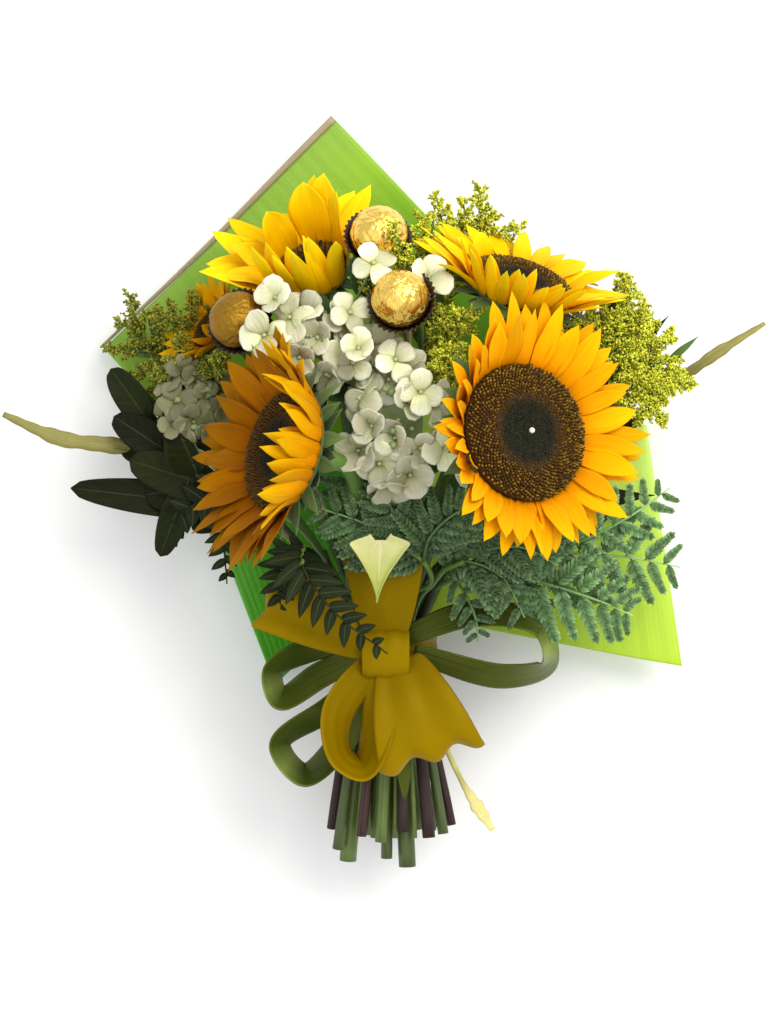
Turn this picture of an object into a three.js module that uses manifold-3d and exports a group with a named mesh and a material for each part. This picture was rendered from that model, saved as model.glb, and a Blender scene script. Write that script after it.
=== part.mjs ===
// A hand-tied bunch of sunflowers lying on its back: five blooms, white hydrangea, goldenrod, leather fern,
// salal, foil-wrapped sweets on picks and two flat gilded twigs, backed by three pieces of banana leaf and
// tied with a yellow ribbon and loops of strap leaf.
// Millimetres. X runs to the right of the bunch, Y from the cut stems to the blooms, Z up from the table.
// The origin is the flat spot under the large back leaf that the bunch rests on.
import * as THREE from "three";
import { mergeVertices } from "three/addons/utils/BufferGeometryUtils.js";
import Module from "manifold-3d";

const wasm = await Module();
wasm.setup();

// ---- driving dimensions ----
const TIE = new THREE.Vector3(0, -100, 42); // middle of the stems where they are bound
const CUT_Y = -218; // where the stems are cut
const CUT_Z = 38;
const CUT_SPREAD = [1.72, 1.25]; // the stems fan out below the tie, sideways and up
const CUT_TURN = 0.42; // radians that the spiral turns between tie and cut
const BLADE = 1.1; // thickness of a petal or leaf at its rib
const LEAF_SHEET = 1; // thickness of a piece of banana leaf
const RIBBON = 0.8;
const CLEAR = 0.35; // gap between pieces that touch

const STRING_RADIUS = 23.6; // middle of the string round all the stems
const COLLAR_RADIUS = 30.6; // inside of the ribbon round the stems and the leaf bases

const COLOURS = {
  petal: 0xf5a800,
  disc: 0x3a2206,
  calyx: 0x4d7a2a,
  pearl: 0xf3efe4,
  hydrangea: 0xe9eadd,
  goldenrod: 0x9fae1e,
  fern: 0x3f6b4a,
  shadeFern: 0x26331a,
  salal: 0x1f2a17,
  paleLeaf: 0xdfe38a,
  backLeaf: 0x9ccc3c,
  yellowRibbon: 0xb89700,
  strapLeaf: 0x4a6414,
  foil: 0xc9992e,
  paperCup: 0x3a2417,
  pick: 0xb9a06a,
  gilt: 0xb0a352,
  string: 0xa89468,
};
const METALNESS = { foil: 0.85, gilt: 0.15 };
const ROUGHNESS = { foil: 0.35, yellowRibbon: 0.4, strapLeaf: 0.35, pearl: 0.2, backLeaf: 0.45 };

// ---- small tools ----
const V = (x, y, z) => new THREE.Vector3(x, y, z);
const { lerp, smoothstep, clamp } = THREE.MathUtils;

// Repeatable draws between -1 and 1.
function drawsFrom(seed) {
  let state = seed * 7919 + 13;
  return () => {
    state = (state * 16807) % 2147483647;
    return (2 * state) / 2147483647 - 1;
  };
}

// A closed three.js geometry as a solid that can be cut and joined.
function solid(geometry) {
  const bare = geometry.clone();
  bare.deleteAttribute("normal");
  bare.deleteAttribute("uv");
  const merged = mergeVertices(bare, 1e-4);
  const corners = merged.index.array;
  const kept = [];
  for (let i = 0; i < corners.length; i += 3) {
    const [a, b, c] = corners.subarray(i, i + 3);
    if (a !== b && b !== c && a !== c) kept.push(a, b, c);
  }
  const vertProperties = merged.attributes.position.array;
  return new wasm.Manifold(new wasm.Mesh({ numProp: 3, vertProperties, triVerts: new Uint32Array(kept) }));
}

// Joins solids that run into each other, and fills any pocket that is closed in between them.
function join(solids) {
  const bodies = wasm.Manifold.union(solids).decompose();
  return bodies.reduce((best, body) => (body.volume() > best.volume() ? body : best));
}

// Moves each vertex of a geometry to place(vertex).
function reshape(geometry, place) {
  const points = geometry.attributes.position;
  const from = new THREE.Vector3();
  for (let i = 0; i < points.count; i++) {
    const to = place(from.fromBufferAttribute(points, i).clone());
    points.setXYZ(i, to.x, to.y, to.z);
  }
  return geometry;
}

// Lays local x across, y (0 to 1) along and z out of the face of a curve. face may change along the curve.
function along(curve, face) {
  const facing = typeof face === "function" ? face : () => face;
  return (v) => {
    const t = clamp(v.y, 0, 1);
    const tangent = curve.getTangent(t);
    const side = tangent.clone().cross(facing(t)).normalize();
    const out = side.clone().cross(tangent);
    return curve.getPoint(t).addScaledVector(side, v.x).addScaledVector(out, v.z);
  };
}

const curveThrough = (...points) => new THREE.CatmullRomCurve3(points, false, "centripetal");

// A pointed blade, such as a petal or a leaf: a sphere of four sides drawn out along a curve.
// width(t) is its half width, fold lifts its edges above its rib as a share of the half width.
function blade(curve, face, width, { rings = 4, fold = 0.25, thick = BLADE, sides = 4 } = {}) {
  const lay = along(curve, face);
  return solid(
    reshape(new THREE.SphereGeometry(1, sides, rings), (v) => {
      const t = (1 + v.y) / 2;
      const ring = Math.max(Math.sqrt(1 - v.y * v.y), 1e-6);
      const across = Math.abs(v.y) > 0.999 ? 0 : v.x / ring;
      const out = Math.abs(v.y) > 0.999 ? 0 : v.z / ring;
      const w = width(t);
      return lay(V(across * w, t, (out * thick) / 2 + fold * w * (across * across - 0.5)));
    }),
  );
}

// The direction, out of a few, that stays most square to a curve all along it, so that no ring turns over.
const DIRECTIONS = [
  V(1, 0, 0), V(0, 1, 0), V(0, 0, 1), V(1, 0, 1), V(-1, 0, 1), V(1, 1, 0), V(-1, 1, 0), V(0, 1, 1), V(0, -1, 1),
].map((v) => v.normalize());

function squarest(curve, samples = 40) {
  const tangents = Array.from({ length: samples + 1 }, (_, k) => curve.getTangent(k / samples));
  const square = (face) => Math.min(...tangents.map((t) => t.clone().cross(face).length()));
  return DIRECTIONS.reduce((best, face) => (square(face) > square(best) ? face : best));
}

// A round bar along a curve, with a radius that may change along it.
function bar(curve, radius, { sides = 6, steps = 6 } = {}) {
  const radiusAt = typeof radius === "function" ? radius : () => radius;
  const lay = along(curve, squarest(curve));
  return solid(
    reshape(new THREE.CylinderGeometry(1, 1, 1, sides, steps), (v) => {
      const t = v.y + 0.5;
      return lay(V(v.x * radiusAt(t), t, v.z * radiusAt(t)));
    }),
  );
}

// A thin sheet whose two faces are split into the same triangles, so that they never cross where it twists.
// place(u, v, top) gives a point of its under (0) or upper (1) face, for u and v from 0 to 1.
function sheet(across, lengthways, place) {
  const points = [];
  for (let j = 0; j <= lengthways; j++) {
    for (let i = 0; i <= across; i++) {
      points.push(place(i / across, j / lengthways, 0), place(i / across, j / lengthways, 1));
    }
  }
  const at = (i, j, top) => 2 * (j * (across + 1) + i) + top;
  const index = [];
  const quad = (a, b, c, d) => index.push(a, b, c, a, c, d);
  for (let j = 0; j < lengthways; j++) {
    for (let i = 0; i < across; i++) {
      quad(at(i + 1, j, 1), at(i + 1, j + 1, 1), at(i, j + 1, 1), at(i, j, 1));
      quad(at(i, j + 1, 0), at(i + 1, j + 1, 0), at(i + 1, j, 0), at(i, j, 0));
    }
    quad(at(0, j + 1, 0), at(0, j, 0), at(0, j, 1), at(0, j + 1, 1));
    quad(at(across, j, 0), at(across, j + 1, 0), at(across, j + 1, 1), at(across, j, 1));
  }
  for (let i = 0; i < across; i++) {
    quad(at(i, 0, 0), at(i + 1, 0, 0), at(i + 1, 0, 1), at(i, 0, 1));
    quad(at(i + 1, lengthways, 0), at(i, lengthways, 0), at(i, lengthways, 1), at(i + 1, lengthways, 1));
  }
  return solid(new THREE.BufferGeometry().setFromPoints(points).setIndex(index));
}

// A flat strip along a curve.
function strip(curve, face, width, thick, steps) {
  const widthAt = typeof width === "function" ? width : () => width;
  const lay = along(curve, face);
  return sheet(1, steps, (u, v, top) => lay(V((u - 0.5) * widthAt(v), v, (top - 0.5) * thick)));
}

const bunch = new THREE.Group();

// Adds a solid to a group as the named mesh of one material.
function addPiece(group, name, made, finish) {
  const { numProp, vertProperties, triVerts } = made.getMesh();
  const geometry = new THREE.BufferGeometry();
  const points = new Float32Array(made.numVert() * 3);
  for (let i = 0; i < made.numVert(); i++) {
    points.set(vertProperties.subarray(i * numProp, i * numProp + 3), i * 3);
  }
  geometry.setAttribute("position", new THREE.BufferAttribute(points, 3));
  geometry.setIndex(new THREE.BufferAttribute(triVerts, 1));
  geometry.computeVertexNormals();
  const material = new THREE.MeshStandardMaterial({
    color: COLOURS[finish],
    roughness: ROUGHNESS[finish] ?? 0.7,
    metalness: METALNESS[finish] ?? 0,
  });
  const mesh = new THREE.Mesh(geometry, material);
  mesh.name = name;
  group.add(mesh);
  return mesh;
}

// A group whose z looks along facing and whose y stays as near to the bunch's +Y as it can.
function headGroup(at, facing) {
  const z = facing.clone().normalize();
  const x = V(0, 1, 0).cross(z).normalize();
  const y = z.clone().cross(x);
  const group = new THREE.Group();
  group.position.copy(at);
  group.quaternion.setFromRotationMatrix(new THREE.Matrix4().makeBasis(x, y, z));
  bunch.add(group);
  group.updateMatrixWorld(true);
  return group;
}

// ---- stems: each has its own place in the bundle, and the bundle fans out in a spiral below the tie ----
const SLOTS = {
  sunflowerRight: [9, 7],
  sunflowerLeft: [-12, 8],
  sunflowerTop: [8, -5],
  sunflowerTopLeft: [-3, -8],
  sunflowerBud: [-11, -6.4],
  hydrangea: [-3, 5.6],
  hydrangeaLeft: [-14.4, -0.5],
  sweetMiddle: [1.8, 1.2],
  sweetTop: [-0.6, -0.6],
  sweetLeft: [-7.6, -0.6],
  goldenrodTop: [2.5, -16.5],
  goldenrodRight: [15.4, -2.4],
  goldenrodLeft: [-9, -15],
  fernRight: [17.5, 4.5],
  fernMiddle: [8.5, 15.6],
  fernFront: [14.6, 12.8],
  fernLow: [-6, 15],
  fernLeft: [-18.4, 4.2],
  salal: [-19.2, -2.2],
  darkLeaves: [11.6, -13.6],
  paleLeaf: [1, 15],
  twigLeft: [-17.6, -9],
  twigRight: [17.4, -8],
};

// The stem's points from its cut end to just above the tie, where it has started towards aim.
function stemFoot(slot, aim, cutShort = 0) {
  const [x, z] = SLOTS[slot];
  const c = Math.cos(CUT_TURN);
  const s = Math.sin(CUT_TURN);
  const [wide, high] = CUT_SPREAD;
  const cut = V(TIE.x + 4 + wide * (c * x - s * z), CUT_Y, CUT_Z + high * (s * x + c * z));
  const tie = V(TIE.x + x, TIE.y, TIE.z + z);
  cut.lerp(tie, cutShort / (TIE.y - CUT_Y));
  const start = tie.clone().add(V((x * 26) / 60, 26, (z * 26) / 60));
  const lean = clamp((aim.y - tie.y) / 400, 0.08, 0.3);
  start.lerp(aim, lean * 0.5);
  return [cut, tie, start];
}

// A stem from its cut end through the tie and on through the given points.
function stemBar(slot, radius, points, { cut = 0, sides = 5, steps = 7, tip = 1 } = {}) {
  const route = curveThrough(...stemFoot(slot, points[0], cut), ...points);
  return bar(route, (t) => radius * lerp(1, tip, t), { sides, steps });
}

// ---- sunflowers ----
// facing is where a bloom looks. Its petals stand up by cup, and by lift more on the side called toward;
// on the far side they are longer by the share called stretch. On the side called bare they have dropped.
const SUNFLOWERS = {
  sunflower_right: {
    slot: "sunflowerRight", at: V(76, 19, 150), facing: V(0.478, 0.146, 0.866), disc: 38, petal: 34, rings: 4,
    counts: [19, 6], cup: 0.36, lift: 0.2, toward: V(-1, 0.2, 0), seed: 3, cut: -14, stem: 5, neck: 26,
  },
  sunflower_left: {
    slot: "sunflowerLeft", at: V(-55, 10, 140), facing: V(-0.82, 0.22, 0.53), disc: 34, petal: 40,
    counts: [17, 5], cup: 0.61, lift: 0.4, toward: V(1, 0.1, 0.4), seed: 8, cut: -12, stem: 5, neck: 26,
  },
  sunflower_top: {
    slot: "sunflowerTop", at: V(77, 104, 102), facing: V(0.27, 0.84, 0.47), disc: 30, petal: 36,
    counts: [15, 5], cup: 0.55, lift: 0.4, toward: V(0, -0.3, 1), seed: 5, cut: 6, stem: 5, neck: 24,
  },
  sunflower_top_left: {
    slot: "sunflowerTopLeft", at: V(-42, 114, 84), facing: V(-0.28, 0.66, 0.69), disc: 22, petal: 49,
    counts: [13, 4], cup: 0.72, lift: 0.85, toward: V(0.2, -0.9, 0.6), stretch: 0.14, bare: V(1, 0.35, 0.2),
    seed: 11, cut: 10, stem: 4.4, neck: 20,
  },
  sunflower_bud: {
    slot: "sunflowerBud", at: V(-101, 83, 54), facing: V(-0.75, 0.45, 0.48), disc: 13, petal: 24,
    counts: [10, 0], cup: 0.7, lift: 0, toward: V(0, 0, 1), seed: 21, cut: 14, stem: 3.4, neck: 16,
  },
};
const RING_TOP = -0.3; // the petals grow from a ring between the disc and the green calyx
const RING_BOTTOM = -3.2;
const CALYX_TOP = -3.5;
const STEEPEST = 1.5; // a petal never leans in over the disc at its root

// One ray petal in the bloom's own frame: it leaves the rim at angle turn, rises by cup and bends back.
function rayPetal(rim, length, turn, cup, bend, height, width, rings) {
  const radial = V(Math.cos(turn), Math.sin(turn), 0);
  const root = radial.clone().multiplyScalar(rim + 0.4).setZ(height);
  const step = (angle) =>
    radial.clone().multiplyScalar((Math.cos(angle) * length) / 2).setZ((Math.sin(angle) * length) / 2);
  const middle = root.clone().add(step(cup));
  const tip = middle.clone().add(step(cup - bend));
  const curve = new THREE.QuadraticBezierCurve3(root, middle, tip);
  const shape = (t) => width * Math.pow(Math.sin(Math.PI * Math.pow(clamp(t, 0.02, 0.98), 0.75)), 0.8);
  return blade(curve, V(0, 0, 1), shape, { rings, fold: 0.3 });
}

function sunflowerPetals(group, bloom) {
  const { disc, petal, rings = 3, counts, cup, lift, toward, stretch = 0, bare, seed } = bloom;
  const draw = drawsFrom(seed);
  const inward = new THREE.Vector2(disc * 0.8, RING_BOTTOM);
  const ring = new THREE.LatheGeometry(
    [
      inward,
      new THREE.Vector2(disc + 2, RING_BOTTOM),
      new THREE.Vector2(disc + 2, RING_TOP),
      new THREE.Vector2(disc * 0.8, RING_TOP),
      inward,
    ],
    14,
  );
  const parts = [solid(ring.rotateX(Math.PI / 2))];
  const toBloom = group.quaternion.clone().invert();
  const inBloom = (world) => world.clone().applyQuaternion(toBloom).setZ(0).normalize();
  const raised = inBloom(toward);
  const dropped = bare ? inBloom(bare) : V(0, 0, 0);
  counts.forEach((count, layer) => {
    for (let k = 0; k < count; k++) {
      const turn = ((k + 0.5 * layer + 0.16 * draw()) / count) * 2 * Math.PI;
      const radial = V(Math.cos(turn), Math.sin(turn), 0);
      const facingRaised = radial.dot(raised);
      if (radial.dot(dropped) > 0.7) continue;
      const angle = Math.min(cup + lift * facingRaised + 0.1 * draw() + 0.22 * layer, STEEPEST);
      const length = petal * (1 + 0.1 * draw() - stretch * facingRaised) * (layer ? 0.82 : 1);
      const width = petal * (layer ? 0.18 : 0.215);
      const height = -2.1 + 0.7 * layer;
      parts.push(rayPetal(disc, length, turn, angle, 0.35 + 0.2 * draw(), height, width, layer ? 3 : rings));
    }
  });
  return join(parts);
}

// The disc: its florets are raised as rows of low knobs that follow the crossing spirals of a sunflower.
function sunflowerDisc({ disc }) {
  const around = disc > 25 ? 22 : 14;
  const rows = disc > 25 ? 5 : 3;
  const rim = disc - CLEAR;
  const profile = [new THREE.Vector2(0, 0.1), new THREE.Vector2(rim, 0.1)];
  for (let k = 0; k <= rows; k++) {
    const r = rim * (1 - k / rows) * 0.995;
    const dome = 1.2 + 0.13 * disc * Math.sin(Math.PI * Math.pow(1 - r / disc, 0.7));
    profile.push(new THREE.Vector2(r, dome));
  }
  return solid(
    reshape(new THREE.LatheGeometry(profile, around).rotateX(Math.PI / 2), (v) => {
      const r = Math.hypot(v.x, v.y);
      const row = Math.round((1 - r / rim) * rows);
      const knob = Math.cos((around / 2) * Math.atan2(v.y, v.x) + row * Math.PI);
      return v.z > 0.5 && r > 2 && r < rim * 0.98 ? v.setZ(v.z + 0.7 * knob) : v;
    }),
  );
}

// The green back of a bloom with its bracts, grown together with its stem.
function sunflowerCalyx(group, { slot, disc, at, facing, cut, stem, neck, seed }) {
  const draw = drawsFrom(seed + 40);
  const depth = disc * 0.42;
  const cupProfile = [
    new THREE.Vector2(0, CALYX_TOP - depth),
    new THREE.Vector2(stem + 1.5, CALYX_TOP - depth),
    new THREE.Vector2(disc * 0.62, CALYX_TOP - depth * 0.6),
    new THREE.Vector2(disc + 0.5, CALYX_TOP),
    new THREE.Vector2(0, CALYX_TOP),
  ];
  const parts = [solid(new THREE.LatheGeometry(cupProfile, 10).rotateX(Math.PI / 2))];
  const bracts = 5;
  for (let k = 0; k < bracts; k++) {
    const turn = ((k + 0.2 * draw()) / bracts) * 2 * Math.PI;
    const radial = V(Math.cos(turn), Math.sin(turn), 0);
    const curve = new THREE.QuadraticBezierCurve3(
      radial.clone().multiplyScalar(disc * 0.55).setZ(CALYX_TOP - depth * 0.45),
      radial.clone().multiplyScalar(disc * 0.95).setZ(CALYX_TOP - 3.2),
      radial.clone().multiplyScalar(disc * 1.3 + 2).setZ(CALYX_TOP - 4.5 + 1.5 * draw()),
    );
    parts.push(blade(curve, V(0, 0, 1), (t) => disc * 0.2 * Math.sin(Math.PI * t), { rings: 3, fold: 0.1 }));
  }
  const out = facing.clone().normalize();
  const back = at.clone().addScaledVector(out, CALYX_TOP - depth * 0.75);
  const behind = at.clone().addScaledVector(out, CALYX_TOP - depth - neck);
  const route = [...stemFoot(slot, behind, cut), behind, back].map((p) => group.worldToLocal(p));
  parts.push(bar(curveThrough(...route), stem, { sides: 5, steps: 7 }));
  return join(parts);
}

for (const [name, bloom] of Object.entries(SUNFLOWERS)) {
  const head = headGroup(bloom.at, bloom.facing);
  addPiece(head, name + "_petals", sunflowerPetals(head, bloom), "petal");
  addPiece(head, name + "_disc", sunflowerDisc(bloom), "disc");
  addPiece(head, name + "_stem", sunflowerCalyx(head, bloom), "calyx");
  if (name === "sunflower_right") {
    const pearl = solid(new THREE.SphereGeometry(1.6, 7, 5).translate(0, 0, 1.2 + 0.13 * bloom.disc + 2.2));
    addPiece(head, "pearl_pin", pearl, "pearl");
  }
}

// ---- hydrangea: a head is one or more flattened cores set with florets of four broad petals ----
const HYDRANGEAS = {
  hydrangea: {
    cores: [
      { at: V(-28, 71, 113), half: V(26, 15, 12), florets: 7 },
      { at: V(6, 26, 116), half: V(22, 33, 12), florets: 11 },
      { at: V(-9, 54, 113), half: V(16, 18, 10), florets: 2 },
    ],
    floret: 13.5, seed: 22,
    slot: "hydrangea", stem: 3.6, cut: 2, under: V(2, -6, 92), into: V(4, 18, 100.5),
  },
  hydrangea_left: {
    cores: [{ at: V(-110, 37, 60), half: V(15, 17, 10), florets: 5 }],
    floret: 11.5, seed: 6,
    slot: "hydrangeaLeft", stem: 2.6, cut: 8, under: V(-84, 14, 42), into: V(-106, 33, 48.5),
  },
};

// A floret: four broad lobes round a shallow eye, drawn to a point underneath that sinks into the head.
function hydrangeaFloret(radius) {
  return reshape(new THREE.SphereGeometry(1, 12, 2), (v) => {
    if (Math.abs(v.y) > 0.5) return V(0, 0, v.y > 0 ? 0.6 : -radius * 0.6);
    const turn = Math.atan2(v.z, v.x) + Math.PI / 12;
    const lobe = radius * (0.55 + 0.5 * Math.pow(Math.abs(Math.cos(2 * turn)), 0.7));
    return V(-lobe * Math.cos(turn), lobe * Math.sin(turn), 1.7);
  });
}

function hydrangeaHead({ cores, floret, seed }) {
  const draw = drawsFrom(seed);
  const parts = [];
  const inAnother = (p, own) =>
    cores.some((core) => core !== own && p.clone().sub(core.at).divide(core.half).length() < 1.15);
  for (const core of cores) {
    const { at, half, florets } = core;
    const ball = new THREE.SphereGeometry(1, 7, 4).scale(half.x, half.y, half.z).translate(at.x, at.y, at.z);
    parts.push(solid(ball));
    for (let k = 0; k < florets; k++) {
      const high = 1 - (1.05 * (k + 0.5)) / florets;
      const turn = k * 2.39996;
      const across = Math.sqrt(1 - high * high);
      const onBall = V(across * Math.cos(turn), across * Math.sin(turn), high);
      const spot = onBall.clone().multiply(half).multiplyScalar(1.02).add(at);
      if (inAnother(spot, core)) continue;
      const lean = V(0.2 * draw(), 0.2 * draw(), 0.35);
      const out = onBall.clone().divide(half).normalize().add(lean).normalize();
      const lobes = hydrangeaFloret(floret * (0.9 + 0.1 * draw()));
      lobes.rotateZ(draw() * Math.PI);
      lobes.applyQuaternion(new THREE.Quaternion().setFromUnitVectors(V(0, 0, 1), out));
      spot.addScaledVector(out, 2 + 0.8 * draw());
      parts.push(solid(lobes.translate(spot.x, spot.y, spot.z)));
    }
  }
  return join(parts);
}

for (const [name, head] of Object.entries(HYDRANGEAS)) {
  const stem = stemBar(head.slot, head.stem, [head.under, head.into], { cut: head.cut });
  addPiece(bunch, name + "_florets", hydrangeaHead(head), "hydrangea");
  addPiece(bunch, name + "_stem", stem, "calyx");
}

// ---- goldenrod: a forking stem set with tapering plumes of tiny buds ----
const GOLDENRODS = {
  goldenrod_top: {
    slot: "goldenrodTop", fork: V(24, 56, 50), seed: 4,
    sprays: [
      { to: [V(28, 108, 44), V(48, 150, 50)], plumes: 4, reach: 32 },
      { to: [V(32, 66, 96), V(40, 88, 120)], plumes: 3, reach: 22 },
    ],
  },
  goldenrod_right: {
    slot: "goldenrodRight", fork: V(112, 46, 66), seed: 7,
    sprays: [
      { to: [V(134, 58, 78), V(170, 64, 82)], plumes: 4, reach: 26 },
      { to: [V(124, 76, 70), V(146, 104, 66)], plumes: 3, reach: 20 },
    ],
  },
  goldenrod_left: {
    slot: "goldenrodLeft", fork: V(-78, 40, 28), seed: 9,
    sprays: [
      { to: [V(-118, 62, 24), V(-158, 90, 32)], plumes: 4, reach: 28 },
      { to: [V(-108, 44, 30), V(-144, 46, 42)], plumes: 3, reach: 26 },
    ],
  },
};

// Where buds sit, a bar's radius swells and shrinks; before that it is bare stalk.
function budded(radius, stalk, from) {
  return (t) => (t < from ? stalk : radius * (1.2 - 0.7 * t) * (Math.round(t * 8) % 2 ? 1.15 : 0.75));
}

function goldenrod({ slot, fork, sprays, seed }) {
  const draw = drawsFrom(seed);
  const parts = [stemBar(slot, 2, [fork.clone().lerp(TIE, 0.35), fork], { cut: 6 })];
  for (const { to, plumes, reach } of sprays) {
    const spine = curveThrough(fork, ...to);
    parts.push(bar(spine, budded(8, 1.9, 0.7), { sides: 4, steps: 8 }));
    for (let k = 0; k < plumes; k++) {
      const t = 0.3 + (0.4 * k) / plumes;
      const root = spine.getPoint(t);
      const ahead = spine.getTangent(t);
      const side = ahead.clone().cross(V(0, 0, k % 2 ? 1 : -1));
      const lean = ahead.clone().addScaledVector(side, 0.8).setZ(0.15 + 0.25 * draw());
      const tip = root.clone().addScaledVector(lean, reach * (1.1 - 0.5 * t));
      const middle = root.clone().lerp(tip, 0.5).add(V(0, 0, 0.1 * reach));
      const plume = new THREE.QuadraticBezierCurve3(root, middle, tip);
      parts.push(bar(plume, budded(6.6, 0.8, 0.15), { sides: 3, steps: 4 }));
    }
  }
  return join(parts);
}

for (const [name, plant] of Object.entries(GOLDENRODS)) {
  addPiece(bunch, name, goldenrod(plant), "goldenrod");
}

// ---- leather fern: a frond is one thin arched blade, cut to its rib into toothed pinnae ----
const FERNS = {
  fern_right: {
    slot: "fernRight", finish: "fern", stem: [V(34, -66, 58), V(56, -58, 66)],
    rib: [V(56, -58, 66), V(100, -48, 72), V(140, -50, 70), V(172, -56, 64)],
    pairs: 5, reach: 46, droop: 0.12,
  },
  fern_middle: {
    slot: "fernMiddle", finish: "fern", stem: [V(26, -66, 74), V(24, -54, 94)],
    rib: [V(24, -54, 94), V(12, -45, 107), V(-12, -34, 111), V(-46, -27, 105)],
    pairs: 5, reach: 31, droop: 0.16,
  },
  fern_front: {
    slot: "fernFront", finish: "fern", stem: [V(28, -66, 66), V(34, -58, 80)],
    rib: [V(34, -58, 80), V(46, -52, 94), V(66, -60, 98), V(80, -84, 93)],
    pairs: 5, reach: 26, droop: 0.12,
  },
  fern_low: {
    slot: "fernLow", finish: "shadeFern", stem: [V(-24, -72, 74), V(-45, -44, 90)],
    rib: [V(-45, -44, 90), V(-46, -54, 104), V(-28, -80, 108), V(2, -104, 103)],
    pairs: 6, reach: 24, droop: 0.1,
  },
  fern_left: {
    slot: "fernLeft", finish: "shadeFern", stem: [V(-34, -52, 56), V(-58, -26, 62)],
    rib: [V(-58, -26, 62), V(-80, -18, 66), V(-92, -38, 62), V(-92, -66, 54)],
    pairs: 6, reach: 20, droop: 0.1,
  },
};

// A frond is a rib with pairs of straight flat pinnae that droop, each laid square to the rib at its own place.
function fern({ slot, stem, rib, pairs, reach, droop }) {
  const spine = curveThrough(...rib);
  const parts = [
    strip(spine, V(0, 0, 1), (t) => lerp(2.4, 3.4, t), 1, 7),
    stemBar(slot, 1.6, [...stem, spine.getPoint(0.12)], { cut: 4, sides: 4 }),
  ];
  const pitch = 0.9 / pairs;
  const half = pitch * 0.38 * spine.getLength();
  const lay = along(spine, V(0, 0, 1));
  const addLobe = (at, outline) => {
    const shape = new THREE.Shape(outline.map(([x, y]) => new THREE.Vector2(x, y)));
    const flat = new THREE.ExtrudeGeometry(shape, { depth: 0.8, bevelEnabled: false });
    const ahead = spine.getTangent(at);
    const place = (v) => lay(V(v.x, at, v.z - 0.4 - (droop * v.x * v.x) / reach)).addScaledVector(ahead, v.y);
    parts.push(solid(reshape(flat, place)));
  };
  for (let k = 0; k < pairs; k++) {
    const at = 0.06 + pitch * (k + 0.43);
    const length = reach * (k === 0 ? 0.85 : 1) * Math.pow(1 - k / pairs, 0.7);
    const outline = [[0.4, -half], [1 + length, 0.5 * length], [0.4, half]];
    addLobe(at, outline);
    addLobe(at, outline.map(([x, y]) => [-x, y]).reverse());
  }
  addLobe(0.99, [[-2.6, -2], [2.6, -2], [0, 0.08 * spine.getLength()]]);
  return join(parts);
}

for (const [name, frond] of Object.entries(FERNS)) {
  addPiece(bunch, name, fern(frond), frond.finish);
}

// ---- broad leaves on a stem: each leaf runs from a point of the stem to its tip ----
const LEAF_BRANCHES = {
  salal_branch: {
    slot: "salal", finish: "salal", radius: 1.8, stem: [V(-66, -26, 46), V(-112, 0, 60), V(-138, 28, 46)],
    leaves: [
      { at: 0.62, tip: V(-184, -12, 58), half: 17 },
      { at: 0.5, tip: V(-132, -52, 52), half: 13 },
      { at: 0.85, tip: V(-170, 32, 56), half: 11 },
      { at: 0.97, tip: V(-163, 66, 54), half: 10 },
    ],
  },
  dark_leaf_branch: {
    slot: "darkLeaves", finish: "salal", radius: 1.8, stem: [V(70, -20, 26), V(116, 26, 34), V(130, 66, 36)],
    leaves: [
      { at: 0.995, tip: V(138, 112, 40), half: 6 },
      { at: 0.96, tip: V(157, 98, 42), half: 6 },
      { at: 0.88, tip: V(162, 82, 38), half: 6 },
      { at: 0.74, tip: V(160, 36, 40), half: 9, over: 2 },
      { at: 0.6, tip: V(160, -14, 42), half: 9 },
    ],
  },
  pale_leaf: {
    slot: "paleLeaf", finish: "paleLeaf", radius: 1.6, stem: [V(2, -52, 74), V(0, -36, 88)],
    leaves: [{ at: 0.99, tip: V(-5, -77, 98), half: 15, over: 8 }],
  },
};

function leafBranch({ slot, radius, stem, leaves }) {
  const route = curveThrough(...stemFoot(slot, stem[0], 6), ...stem);
  const parts = [bar(route, (t) => radius * (1.1 - 0.4 * t), { sides: 5, steps: 9 })];
  for (const { at, tip, half, over = 5 } of leaves) {
    const root = route.getPoint(at);
    const middle = root.clone().lerp(tip, 0.45).add(V(0, 0, over));
    const curve = new THREE.QuadraticBezierCurve3(root, middle, tip);
    const width = (t) => half * Math.pow(Math.sin(Math.PI * Math.pow(clamp(t, 0.02, 0.98), 0.8)), 0.75);
    parts.push(blade(curve, V(0, 0.1, 1), width, { rings: 4, fold: 0.25, thick: 1.2 }));
  }
  return join(parts);
}

for (const [name, branch] of Object.entries(LEAF_BRANCHES)) {
  addPiece(bunch, name, leafBranch(branch), branch.finish);
}

// ---- the three pieces of banana leaf behind the bunch ----
// Each is a sheet over four corners, and its base runs under the stems inside the ribbon.
const inNeck = (x, y) => clamp((-50 - y) / 40, 0, 1) * (1 - smoothstep(Math.abs(x), 20, 60));

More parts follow.
